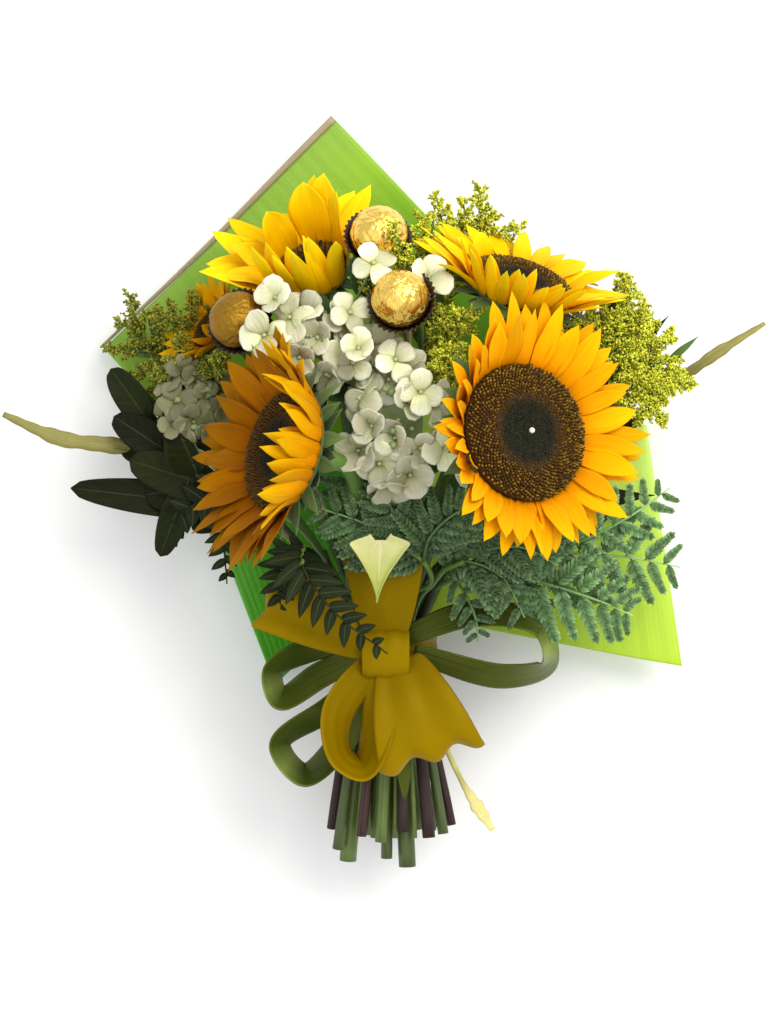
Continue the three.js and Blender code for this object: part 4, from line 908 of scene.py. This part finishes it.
def goldenrodParts(plan, shape):
    # Sprays leave the fork, plumes leave the sprays left and right, twigs leave the plumes all round, and
    # buds the twigs. Each starts at a share t along the one before it and bows up as a parabola.
    draw = np.random.default_rng(plan["seed"])
    tie, fork = np.array(bundle["tie"], float), np.array(plan["fork"], float)
    stalks, axes = [stem(plan["stem"], 2, [fork + (tie - fork) * 0.35, fork], 6)], []
    for to, plumes, reach in plan["sprays"]:
        spine = smoothRoute([fork, *to], 24)
        stalks.append(rod(spine, 1.9, 0.7, 7))
        axes.append(smoothRoute(spine[13:], 9)[None])
        t = 0.3 + 0.62 * (np.arange(plumes) + draw.uniform(-0.2, 0.2, plumes)) / plumes
        root, ahead = readLines(spine[None], 0, t)
        lean = ahead + 0.8 * sidewards(ahead)
        lean[:, 2] = draw.uniform(-0.05, 0.5, plumes)
        axes.append(arched(root, root + lean * (reach * (1.1 - 0.5 * t))[:, None], 0.12 * reach, 9))
    axes = np.concatenate(axes)
    which = np.repeat(np.arange(len(axes)), plan["twigs"])
    t = np.tile(np.linspace(0.06, 1, plan["twigs"]), len(axes)) + draw.uniform(-0.02, 0.02, len(which))
    root, ahead = readLines(axes, which, t)
    around = allRound(draw, ahead, 0.25)
    reach = (shape["twigLong"] * (1 - 0.6 * t) * draw.uniform(0.7, 1.2, len(which)))[:, None]
    twigs = arched(root, root + unit(ahead * 0.8 + around) * reach, 0.8, 5)
    stalks += [rods(axes, np.linspace(0.8, 0.35, 9), 5), rods(twigs, shape["twigWide"], 4)]
    which = np.repeat(np.arange(len(twigs)), shape["budsOnTwig"])
    t = np.tile(np.linspace(0.1, 1, shape["budsOnTwig"]), len(twigs))
    root, ahead = readLines(twigs, which, t)
    out = allRound(draw, ahead, 0.35)
    bud = unit(ahead * 0.5 + out) * draw.uniform(*shape["budLong"], len(which))[:, None]
    lines = root[:, None] + bud[:, None] * np.array([[0], [0.5], [1]])
    wide = np.array(shape["budWide"]) * draw.uniform(0.85, 1.35, (len(which), 1))
    buds = rods(lines, wide, 3, seed=plan["seed"])
    trunk = smoothRoute([fork + (tie - fork) * 0.3, fork, *plan["sprays"][0][0]], 30)[None]
    root, ahead = readLines(trunk, 0, draw.uniform(0.35, 0.98, shape["leaves"]))
    long = draw.uniform(*shape["leafLong"], (len(root), 1))
    tip = root + unit(ahead + sidewards(ahead) * 0.7 + 0.2 * up) * long
    wide = shape["leafWide"] * outline(9, 0.4, 0.4, 1.2)
    leaves = blades(arched(root, tip, 2.0, 9), leafUp, wide, fold=0.3, thick=0.5, around=8)
    return stalks + [leaves], buds


for name, plan in goldenrods.items():
    stalks, buds = goldenrodParts(plan, goldenrodShape)
    addPiece(name + "_stalks", stalks, "stem", "goldenrod", name)
    addPiece(name + "_buds", [buds], plan["finish"], "goldenrod", name)
print("goldenrod made")


# leather fern. ribs: (points, pairs of pinnae, their reach); lobes: how many down each side of a pinna
ferns = {
    "fern_right": dict(
        stem="fernRight", via=[(34, -66, 58), (56, -58, 66)], finish="fernSun", slot="fern",
        ribs=[([(56, -58, 66), (100, -48, 72), (140, -50, 70), (172, -56, 64)], 8, 44),
              ([(60, -58, 70), (96, -66, 78), (126, -76, 78), (144, -84, 70)], 7, 36),
              ([(90, -50, 68), (120, -38, 74), (146, -24, 72), (166, -10, 64)], 7, 27)],
        droop=0.12, lobes=10, seed=31),
    "fern_middle": dict(
        stem="fernMiddle", via=[(26, -66, 74), (24, -54, 94)], finish="fern", slot="fern",
        ribs=[([(24, -54, 94), (12, -43, 104), (-12, -30, 109), (-42, -20, 107)], 9, 36),
              ([(22, -52, 98), (26, -38, 110), (38, -26, 114), (52, -20, 112)], 7, 28),
              ([(14, -46, 96), (-8, -26, 102), (-22, -4, 102), (-26, 20, 94)], 7, 26),
              ([(20, -52, 94), (14, -36, 106), (3, -20, 113), (-4, -4, 114)], 7, 26)],
        droop=0.16, lobes=9, seed=32),
    "fern_front": dict(
        stem="fernFront", via=[(28, -66, 66), (34, -58, 80)], finish="fern", slot="fern",
        ribs=[([(34, -58, 80), (46, -52, 94), (66, -60, 98), (80, -84, 93)], 8, 36),
              ([(36, -58, 82), (46, -70, 90), (52, -84, 90), (54, -98, 84)], 5, 16),
              ([(36, -58, 80), (56, -46, 96), (78, -44, 104), (98, -54, 100)], 8, 30)],
        droop=0.12, lobes=9, seed=33),
    "fern_low": dict(
        stem="fernLow", via=[(-24, -72, 74), (-45, -44, 90)], finish="shadeFern", slot="shade_fern",
        ribs=[([(-45, -44, 90), (-46, -54, 104), (-28, -80, 108), (2, -104, 103)], 10, 24),
              ([(-40, -50, 88), (-54, -52, 92), (-60, -66, 90), (-58, -84, 82)], 7, 18)],
        droop=0.1, lobes=0, seed=34),
    "fern_left": dict(
        stem="fernLeft", via=[(-34, -52, 56), (-58, -26, 62)], finish="shadeFern", slot="shade_fern",
        ribs=[([(-58, -26, 62), (-80, -18, 66), (-92, -38, 62), (-92, -66, 54)], 10, 22),
              ([(-64, -24, 64), (-96, -14, 66), (-118, -26, 60), (-128, -46, 50)], 8, 18)],
        droop=0.1, lobes=0, seed=35),
}


def frond(rib, pairs, reach, droop, lobes, seed):
    # A rib with pairs of pinnae at even shares of its length, the left one a little nearer its foot. Their
    # length falls as a power of the rib that is left, and each bends forward and droops as the square of
    # the way along it. A pinna is a blade, or a midrib with lobes down both sides that shorten to its tip.
    draw = np.random.default_rng(seed)
    rib = smoothRoute(rib, 40)
    k = np.repeat(np.arange(pairs), 2)
    left = np.tile([-1.0, 1.0], pairs)
    root, ahead = readLines(rib[None], 0, 0.05 + 0.93 * (k + 0.125 * left + 0.4) / pairs)
    side = unit(np.cross(ahead, up)) * left[:, None]
    length = reach * np.where(k == 0, 0.85, 1) * (1 - k / pairs) ** 0.55 * draw.uniform(0.9, 1.08, len(k))
    lean = unit(side + (0.55 + draw.normal(0, 0.08, (len(k), 1))) * ahead)
    v, long = np.linspace(0, 1, 13), length[:, None]
    lines = root[:, None] + lean[:, None] * (long * v)[..., None]
    lines = lines + ahead[:, None] * (0.14 * long * v ** 2)[..., None]
    lines[..., 2] += 2.2 * v - 1.44 * droop * long * v ** 2 + draw.uniform(-0.8, 0.8, (len(k), 1))
    parts = [rod(rib, 1.2, 0.42)]
    if not lobes:
        wide = 0.52 * routeLength(rib) / pairs * outline(13, 0.3, 0.75, 0.8) * np.sqrt(long / reach)
        return parts + [blades(lines, up, wide, fold=0.12, wave=0.1, ribs=0.2, seed=seed)]
    parts.append(rods(lines, np.linspace(0.5, 0.2, 13), 6))
    which = np.repeat(np.arange(len(k)), 2 * lobes)
    j = np.tile(np.repeat(np.arange(lobes), 2), len(k))
    hand = np.tile([-1.0, 1.0], lobes * len(k))
    t = 0.06 + 0.9 * (j + 0.5) / lobes
    foot, run = readLines(lines, which, t)
    out = unit(np.cross(run, up)) * hand[:, None]
    size = length[which] * 0.23 * (1 - 0.68 * t) * np.where(j == 0, 0.85, 1)
    size = size * draw.uniform(0.85, 1.12, len(which)) + 1.2
    tip = foot + unit(out + 0.85 * run) * size[:, None]
    tip[:, 2] -= 0.12 * size + draw.uniform(-0.5, 0.5, len(which))
    wide = (length[which] * 0.62 / lobes)[:, None] * outline(7, 0.3, 0.9, 1.1) + 0.15
    parts.append(blades(arched(foot, tip, 0.08 * size, 7), up, wide, fold=0.22, thick=0.55, around=8,
                        ribs=0.2, seed=seed))
    foot, run = readLines(lines, np.arange(len(k)), np.full(len(k), 0.9))
    end = arched(foot, foot + run * (0.14 * long + 1.5), 0.1, 6)
    return parts + [blades(end, up, 1.5 * outline(6, 0.3, 0.8, 1.2), thick=0.5, around=8)]


for name, plan in ferns.items():
    stalk = stem(plan["stem"], 1.6, plan["via"] + [plan["ribs"][0][0][1]], 4)
    addPiece(name + "_stalk", [stalk], "stem", plan["slot"], name)
    parts = []
    for number, (rib, pairs, reach) in enumerate(plan["ribs"]):
        parts += frond(rib, pairs, reach, plan["droop"], plan["lobes"], plan["seed"] + 10 * number)
    addPiece(name + "_frond", parts, plan["finish"], plan["slot"], name)
print("ferns made")


# broad leaves on branches: (share of the stem, tip, half width, height of the bow)
# blunt: the power of the outline's end, so a small one makes a blunt leaf
branches = {
    "salal_branch": dict(
        stem="salal", via=[(-66, -26, 46), (-112, 0, 60), (-138, 28, 46)], wide=1.8, blunt=0.4, seed=60,
        leaves=[(0.62, (-183, -10, 58), 11, 5), (0.8, (-131, -50, 54), 9, 5), (0.85, (-158, 32, 56), 11, 5),
                (0.97, (-160, 60, 54), 10, 5), (0.7, (-148, 6, 64), 13, 6), (0.78, (-120, 26, 70), 14, 6),
                (0.9, (-154, 16, 48), 13, 4), (0.66, (-112, -34, 60), 10, 5),
                (0.74, (-140, -14, 56), 13, 5)]),
    "dark_leaf_branch": dict(
        stem="darkLeaves", via=[(70, -20, 26), (116, 26, 34), (130, 66, 36)], wide=1.8, blunt=1.1, seed=61,
        leaves=[(0.995, (138, 112, 40), 6, 5), (0.96, (157, 98, 42), 6, 5), (0.88, (162, 82, 38), 6, 5),
                (0.74, (160, 36, 40), 9, 2), (0.6, (160, -14, 42), 9, 5), (0.92, (120, 104, 44), 5, 5),
                (0.8, (150, 62, 44), 6, 5), (0.97, (146, 108, 50), 4, 5), (0.9, (168, 92, 46), 4, 5)]),
}


def leafBranch(plan):
    # a stem, short leaf stalks and leaves, each leaf along a parabola from the stem to its tip
    draw = np.random.default_rng(plan["seed"])
    route = smoothRoute(stemFoot(plan["stem"], plan["via"][0], 6) + plan["via"], 60)
    ats, tips, halves, overs = (np.array(side, float) for side in zip(*plan["leaves"]))
    root, _ = readLines(route[None], 0, ats)
    over = root + (tips - root) * 0.45 + overs[:, None] * up
    lines = bowed(root[:, None], over[:, None], tips[:, None], np.linspace(0, 1, 25)[:, None])
    leaves = blades(lines, leafUp, halves[:, None] * outline(25, 0.5, 0.1, plan["blunt"]), fold=0.24,
                    thick=0.9, around=18, ribs=0.2, wave=0.09, twist=draw.normal(0, 0.2, len(ats)),
                    seed=plan["seed"])
    stalks = [rod(route, 1.1 * plan["wide"], 0.7 * plan["wide"]), rods(lines[:, :7], plan["wide"] / 2, 6)]
    return stalks, leaves


for name, plan in branches.items():
    stalks, leaves = leafBranch(plan)
    addPiece(name + "_leaves", [leaves], "darkLeafInShade", "dark_leaf", name)
    addPiece(name + "_stalk", stalks, "woodyStem", "dark_leaf", name)

# the pale leaf folds over towards the tie: two corners drawn up and out, and a long point
paleLeaf = {"top": (-2, -41, 116), "tip": (-4, -75, 110), "half": 21.5, "point": 1.75,
            "via": [(2, -62, 76), (6, -48, 92), (-2, -42, 112)]}
v, u = np.meshgrid(np.linspace(0, 1, 40), np.linspace(-1, 1, 33), indexing="ij")
half = paleLeaf["half"] * (0.25 + 0.75 * eased(v, 0, 0.14)) * (1 - v) ** paleLeaf["point"] + 0.3
middle = np.array(paleLeaf["top"]) + v[..., None] * (np.array(paleLeaf["tip"], float) - paleLeaf["top"])
trough = 3.5 * (1 - np.abs(u)) * np.sin(np.pi * v)
shape = middle + stacked(u * half, 5 * u ** 2 * (1 - v) ** 2,
                         6.5 * u ** 2 * (1 - v) - trough + 1.2 * np.sin(3 * u + 2))
addPiece("pale_leaf_blade", [sheetRings(shape[::-1], 0.7)], "paleLeaf", "pale_leaf", "pale_leaf")
addPiece("pale_leaf_stalk", [stem("paleLeaf", 1.6, paleLeaf["via"], 6)], "stem", "pale_leaf", "pale_leaf")
print("leaves made")


# banana leaf: sheets over four corners, as in the frame, gathered at the neck
def inNeck(x, y):
    # 1 where the leaf is gathered at the tie, 0 where it lies free
    return np.clip((-50 - y) / 40, 0, 1) * (1 - eased(np.abs(x), 20, 60))


def overCorners(a, b, c, d, u, w):
    # a flat sheet on four corners: from a to b and from d to c by u, and from one to the other by w
    bottom = np.array(a) + (np.array(b, float) - a) * u[..., None]
    top = np.array(d) + (np.array(c, float) - d) * u[..., None]
    return np.moveaxis(bottom + (top - bottom) * w[..., None], -1, 0)


def lyingLow(x, y, rise):
    # a leaf 4.2 above the floor, plus its own rise, that comes up to 16.2 in the neck
    neck = inNeck(x, y)
    return x, y, (4.2 + rise) * (1 - neck) + 16.2 * neck


def leafTop(u, w):
    # narrowed towards the neck, and raised there, at its upper edge and at its left
    x, y = overCorners((-2, -112), (98, 82), (-29, 211), (-169, 75), u, w)
    x = x * (0.4 + 0.6 * eased(y, -101, -60))
    return x, y, 13.2 * inNeck(x, y) + 22 * eased(y, 105, 220) + 12 * eased(-x, 75, 175)


def leafRight(u, w):
    # its lower edge bows in as a sine, and it rises to the right
    u = u ** 1.6
    x, y = overCorners((5, -111), (178, -116), (157, 28), (14, 44), u, w)
    return lyingLow(x, y + 21 * np.sin(np.pi * u ** 0.35) * (1 - w), 22 * eased(x, 20, 180))


def leafLeft(u, w):
    # its lower edge bows in as a sine, and it rises to the left
    x, y = overCorners((-3, -111), (-22, 10), (-98, -42), (-66, -128), u, w)
    return lyingLow(x, y + 27 * np.sin(np.pi * w ** 0.45) * (1 - u), 18 * eased(-x, 30, 100))


bananaLeaves = {
    "back_leaf_top": {"shape": leafTop, "veinsUp": True, "finish": "backLeafTop"},
    "back_leaf_right": {"shape": leafRight, "veinsUp": True, "finish": "backLeafRight"},
    "back_leaf_left": {"shape": leafLeft, "veinsUp": False, "finish": "backLeafLeft"},
}
leafSheet = {"steps": 90, "flutes": 150, "fluteDeep": 0.18, "thick": 0.9, "raised": 0.5}
leafSteps = np.linspace(0, 1, leafSheet["steps"])
for name, leaf in bananaLeaves.items():
    w, u = np.meshgrid(leafSteps, leafSteps, indexing="ij")
    x, y, z = leaf["shape"](u, w)
    flute = leafSheet["fluteDeep"] * np.sin(leafSheet["flutes"] * (u if leaf["veinsUp"] else w))
    flute = flute * np.clip(1.2 - 2 * inNeck(x, y), 0, 1)
    points, place = sheetRings(stacked(x, y, z + leafSheet["raised"] + flute), leafSheet["thick"])
    if not leaf["veinsUp"]:
        place = stacked(place[..., 1] * 2 - 1, (place[..., 0] + 1) / 2, place[..., 2])
    addPiece(name + "_sheet", [(points, place)], leaf["finish"], "back_leaf", name)
x, y, z = leafTop(np.linspace(0, 1, 50), np.ones(50))
midrib = rod(stacked(x - 1.2, y + 1.0, z + 1.2), 0.9, 2.3, 12)
addPiece("back_leaf_top_midrib", [midrib], "midrib", "back_leaf")
print("banana leaves made")


# the tie
def band(radius, width, y, folds, rows=121, columns=15):
    # a closed band round the tie: its radius and low waves, cos(3 pi a) across and sin(5 turn + 4 a) round
    turn = np.linspace(0, 2 * np.pi, rows)[:, None]
    a = np.linspace(-1, 1, columns)
    r = radius + folds * (np.cos(3 * np.pi * a) + 0.6 * np.sin(5 * turn + 4 * a)) * 0.5
    return stacked(tieX + r * np.sin(turn), y - a * width / 2, tieZ + r * np.cos(turn))


def loopGrid(curve, widthAt, face, columns, ripple=0.0, ripples=3, start=0, scallop=0.0, ahead=(0, 0, 0)):
    # A strip's middle surface: across square to face, with ripples that fade towards both ends. Its far end
    # is drawn out into scallops, ahead by scallop * cos(ripples * pi * across).
    tangent = along(curve[None])[0]
    side = unit(np.cross(tangent, face))
    out = np.cross(side, tangent)
    a = np.linspace(-1, 1, columns)
    wave = ripples * np.pi * a + start
    fade = np.sin(np.pi * np.linspace(0, 1, len(curve)))[:, None]
    grid = curve[:, None] + side[:, None] * (a[:, None] * widthAt[:, None, None] / 2)
    grid = grid + out[:, None] * (ripple * np.sin(wave) * fade ** 0.6)[..., None]
    return grid + np.array(ahead, float) * (scallop * np.cos(wave) * fade ** 2)[..., None]


def widening(narrow, wide, rows):
    # width along a loop: wide in the middle, as a sine to a power
    return narrow + (wide - narrow) * np.sin(np.pi * np.linspace(0, 1, rows)) ** 0.75


def flatLoop(root, tip, narrow, wide, high, ripple, ripples, start, scallop, rows=90, columns=33):
    # a loop seen broadside: a smooth route out over the top and back under it
    root, tip = np.array(root, float), np.array(tip, float)
    ahead, rise = unit((tip - root) * (1, 1, 0)), high * up
    curve = smoothRoute([root - 4 * ahead, (root + tip) / 2 + rise, tip + 0.75 * rise,
                         tip + 4 * ahead + 0.2 * rise, tip - 0.3 * rise,
                         root + (tip - root) * 0.45 - 0.45 * rise], rows)
    face = np.cross(np.broadcast_to(np.cross(ahead, up), curve.shape), along(curve[None])[0])
    return curve, loopGrid(curve, widening(narrow, wide, rows), face, columns, ripple, ripples, start,
                           scallop, ahead)


def edgeLoop(points, narrow, wide, tilt, ripple=0.0, rows=90, columns=13):
    # a loop that leaves flat, turns on edge by tilt round its far end, and comes back flat
    curve = smoothRoute(points, rows)
    ahead = along(curve[None])[0]
    onEdge = np.sin(np.pi * np.linspace(0, 1, rows))[:, None] * tilt
    inPlane = unit(stacked(-ahead[:, 1], ahead[:, 0], 0))
    face = up * np.cos(onEdge) + inPlane * np.sin(onEdge)
    return curve, loopGrid(curve, widening(narrow, wide, rows), face, columns, ripple)


def addRibbon(name, curve, grid, cutWide, *nodes, rests="ribbon_collar"):
    # a satin sheet; flat, it is as wide as it was cut and as long as its middle curve
    piece = addPiece(name, [sheetRings(grid, 0.5)], "satin", "yellow_ribbon", *nodes)
    print(name, "cut", cutWide, "by", round(routeLength(curve)), "mm")


ribbonLoops = {
    "ribbon_loop_left": dict(root=(-6, -100, 83), tip=(-62, -73, 80), narrow=16, wide=42, high=6, ripple=0.9,
                             ripples=2, start=0.4, scallop=1.5),
    "ribbon_loop_top": dict(root=(1, -96, 84), tip=(0, -52, 88), narrow=18, wide=46, high=5, ripple=0.8,
                            ripples=2, start=1.2, scallop=1.0),
    "ribbon_loop_low": dict(root=(10, -112, 84), tip=(26, -160, 88), narrow=24, wide=62, high=8, ripple=1.1,
                            ripples=2.4, start=0.9, scallop=3.4),
}
darkLoop = {"points": [(-4, -108, 82), (-26, -138, 90), (-24, -164, 88), (-12, -170, 88), (-4, -150, 88),
                       (-1, -112, 84)], "narrow": 14, "wide": 30, "tilt": 1.2, "ripple": 0.3}
collar = {"radius": 31.0, "width": 20, "y": -104, "folds": 0.5}
knot = {"middle": (1, -105, 84.8), "half": (13.5, 12.4, 6.4)}
cutWidths = {"collar": 22, "knot": 34}
string = {"radius": 23.6, "turns": 3, "thick": 0.85, "spread": 1.7}
straps = {
    "strap_leaf_right": [(8, -97, 74.4), (54, -82, 78), (90, -90, 77), (95, -112, 72), (70, -119, 70),
                         (17, -105, 76)],
    "strap_leaf_left": [(-6, -95, 74.4), (-44, -104, 70), (-64, -116, 70), (-60, -132, 68), (-38, -119, 68),
                        (-14, -106, 76.4)],
    "strap_leaf_low": [(-5, -117, 76.2), (-32, -138, 72), (-60, -158, 72), (-46, -176, 70), (-25, -158, 67),
                       (-7, -128, 78)],
}
strapShape = {"narrow": 9, "wide": 23, "tilt": 1.1, "rows": 120, "columns": 17}
strapTail = [(6, -112, 74.0), (11, -150, 78.0), (12, -190, 74.0)]

grid = band(**collar)
addRibbon("ribbon_collar_band", grid[:, 7], grid, cutWidths["collar"], "ribbon_collar",
          rests="binding_string")
# the knot: one turn of ribbon round the bow's middle, that bulges and creases
turn = np.linspace(np.pi, 3 * np.pi, 80)[:, None]
a = np.linspace(-1, 1, 29)
bulge = 1 + 0.12 * np.cos(np.pi * a / 2) + 0.05 * np.sin(turn + 2) * a
bulge = bulge + 0.03 * np.sin(9 * a + 1.5 * np.sin(turn))
(x, y, z), (wide, long, high) = knot["middle"], knot["half"]
grid = stacked(x + a * wide, y - long * bulge * np.sin(turn), z + high * bulge * np.cos(turn))
addRibbon("ribbon_knot", grid[:, 14], grid, cutWidths["knot"], "ribbon_bow")
for name, loop in ribbonLoops.items():
    addRibbon(name, *flatLoop(**loop), loop["wide"], "ribbon_bow")
addRibbon("ribbon_loop_dark", *edgeLoop(**darkLoop), darkLoop["wide"], "ribbon_bow")

turns = np.linspace(0, 2 * np.pi * string["turns"], 200)
coil = stacked(tieX + string["radius"] * np.sin(turns),
               tieY - 2 + string["spread"] * (turns / (np.pi * string["turns"]) - 1),
               tieZ + string["radius"] * np.cos(turns))
addPiece("string_turns", [rods(coil[None], string["thick"], 8, knots=0.1)], "string", "string",
         "binding_string")
for name, points in straps.items():
    _, grid = edgeLoop(points, **strapShape)
    addPiece(name + "_loop", [sheetRings(grid, 0.8)], "strapLeaf", "strap_leaf", name)
tailLine = bowed(*np.array(strapTail), np.linspace(0, 1, 40)[:, None])[None]
addPiece("strap_leaf_end", [blades(tailLine, up, 6.5 * outline(40, 0.35, 0.5, 0.6), fold=0.3, thick=0.8,
                                   around=14, ribs=0.15)], "strapLeaf", "strap_leaf", "strap_leaf_tail")
print("tie made")


# sweets in gold foil
sweets = {
    "middle": {"at": (9, 93, 140), "facing": (-0.25, 0.3, 0.92), "stem": "sweetMiddle",
               "via": [(8, 10, 84), (14, 66, 96)], "finish": "foil"},
    "top": {"at": (-3, 131, 118), "facing": (0.1, 0.45, 0.9), "stem": "sweetTop",
            "via": [(4, 20, 70), (2, 96, 84)], "finish": "foil"},
    "left": {"at": (-82, 84, 108), "facing": (-0.3, 0.2, 0.93), "stem": "sweetLeft",
             "via": [(-40, -10, 60), (-70, 66, 58)], "finish": "foilShade"},
}
# the cup's section, up the outside and down the inside: (radius, height, share of the flutes' depth)
cupSection = [(0.3, -18.3, 0), (9, -18.3, 0), (11, -18.3, 0.2), (14, -12.2, 0.6), (17, -6, 0.8),
              (19.2, -2.6, 1), (18.9, -2.4, 1), (16.4, -6, 0.8), (13.4, -12.2, 0.6), (10.4, -17.6, 0.2),
              (0.3, -17.6, 0)]
cupFlutes = {"count": 34, "depth": 0.65}
foilBall = {"radius": 16, "creases": 46, "stickTop": 19.4}  # the stick ends that far under the middle


def crumpledBall(radius, seed, rows=90, around=120):
    # a ball pressed in by creases: each is a circle about a random axis, and a valley that fades on both
    # sides of it as exp(-distance / width)
    draw = np.random.default_rng(seed)
    p = np.linspace(0.01, np.pi - 0.01, rows)[:, None]
    turn = evenTurns(around)
    on = stacked(np.sin(p) * np.cos(turn), np.sin(p) * np.sin(turn), -np.cos(p))
    dent = 0
    for _ in range(foilBall["creases"]):
        normal, offset = unit(draw.normal(0, 1, 3)), draw.uniform(-0.8, 0.8)
        depth = draw.uniform(0.15, 0.5)
        dent = dent + depth * np.exp(-np.abs(on @ normal - offset) / draw.uniform(0.025, 0.08))
    points = on * (radius + 0.5 - dent * 0.75)[..., None]
    return points[None], stacked(turn / np.pi - 1, p / np.pi, 0.5)[None]


def flutedCup():
    # a paper cup whose wall is pressed into flutes: radius + depth * cos(flutes * turn), inside and outside
    turn = evenTurns(cupFlutes["count"] * 6)
    r, z, share = np.array(cupSection).T[:, :, None]
    r = r + cupFlutes["depth"] * share * np.cos(cupFlutes["count"] * turn)
    place = stacked(turn / np.pi - 1, np.linspace(0, 1, len(cupSection))[:, None], 0.5)
    return stacked(r * np.cos(turn), r * np.sin(turn), z)[None], place[None]


for seed, (name, sweet) in enumerate(sweets.items(), 70):
    out = unit(np.array(sweet["facing"], float))
    centre, axes = np.array(sweet["at"], float), axesFacing(out)
    foil = crumpledBall(foilBall["radius"], seed)
    addPiece("foil_" + name, placed([foil], centre, axes), sweet["finish"], "gold_foil",
             "foil_ball_" + name)
    addPiece("cup_" + name, placed([flutedCup()], centre, axes), "paper", "paper_cup", "paper_cup_" + name)
    foot = centre - out * foilBall["stickTop"]
    addPiece("stick_" + name, [stem(sweet["stem"], 1.2, sweet["via"] + [foot], 40)], "pick", "pick",
             "pick_" + name)
print("sweets made")


# gilded twigs. wide: width below and above; over: where it changes; turn: how far it twists, how often;
# cut: the cut end, where it leaves the bundle; stub: how far the cut end swells
twigs = {
    "twig_left": dict(
        stem="twigLeft", wide=(4, 9.5), over=(0.5, 0.75), turn=(0.3, 9), cut=None, stub=0,
        via=[(-60, -36, 40), (-104, -4, 44), (-148, 13, 50), (-189, 19, 58), (-222, 33, 60)]),
    "twig_right": dict(
        stem="twigRight", wide=(3, 7), over=(0.5, 0.7), turn=(0.8, 7), cut=[(64, -211, 48), (43, -177, 45)],
        stub=5, via=[(70, -30, 44), (140, 40, 52), (172, 54, 58), (196, 70, 60), (222, 86, 60)]),
}
for name, plan in twigs.items():
    foot, *bound = stemFoot(plan["stem"], plan["via"][0])
    curve = smoothRoute((plan["cut"] or [foot]) + bound + plan["via"], 160)
    t = np.linspace(0, 1, 160)
    low, high = plan["wide"]
    wide = (low + (high - low) * eased(t, *plan["over"])) * (1 - 0.6 * eased(t, 0.85, 1))
    wide = wide * (1 + 0.08 * np.sin(60 * t) + 0.06 * np.sin(143 * t + 1))
    wide = wide + plan["stub"] * np.exp(-((t - 0.05) / 0.035) ** 2) * (1 + 0.25 * np.sin(260 * t))
    angle = plan["turn"][0] * np.sin(plan["turn"][1] * t)
    strip = blades(curve[None], stacked(0, np.sin(angle), np.cos(angle)), wide / 2, fold=0.15, thick=2.4,
                   around=12, ribs=0.2)
    addPiece(name + "_strip", [strip], "gilt", "gilded_twig", name)
print("twigs made")


# floor
floorMesh = bpy.data.meshes.new("floor")
half, drop = studio["floorSize"] / 2 * metresPerMm, -studio["floorDrop"] * metresPerMm
corners = [(-half, -half, drop), (half, -half, drop), (half, half, drop), (-half, half, drop)]
floorMesh.from_pydata(corners, [], [(0, 1, 2, 3)])
floor = bpy.data.objects.new("floor", floorMesh)
floorFinish, floorSurface = newFinish("paper floor")
floorSurface.inputs["Base Color"].default_value = (0.93, 0.93, 0.93, 1.0)
floorSurface.inputs["Roughness"].default_value = 0.95
floorMesh.materials.append(floorFinish)
bpy.context.scene.collection.objects.link(floor)
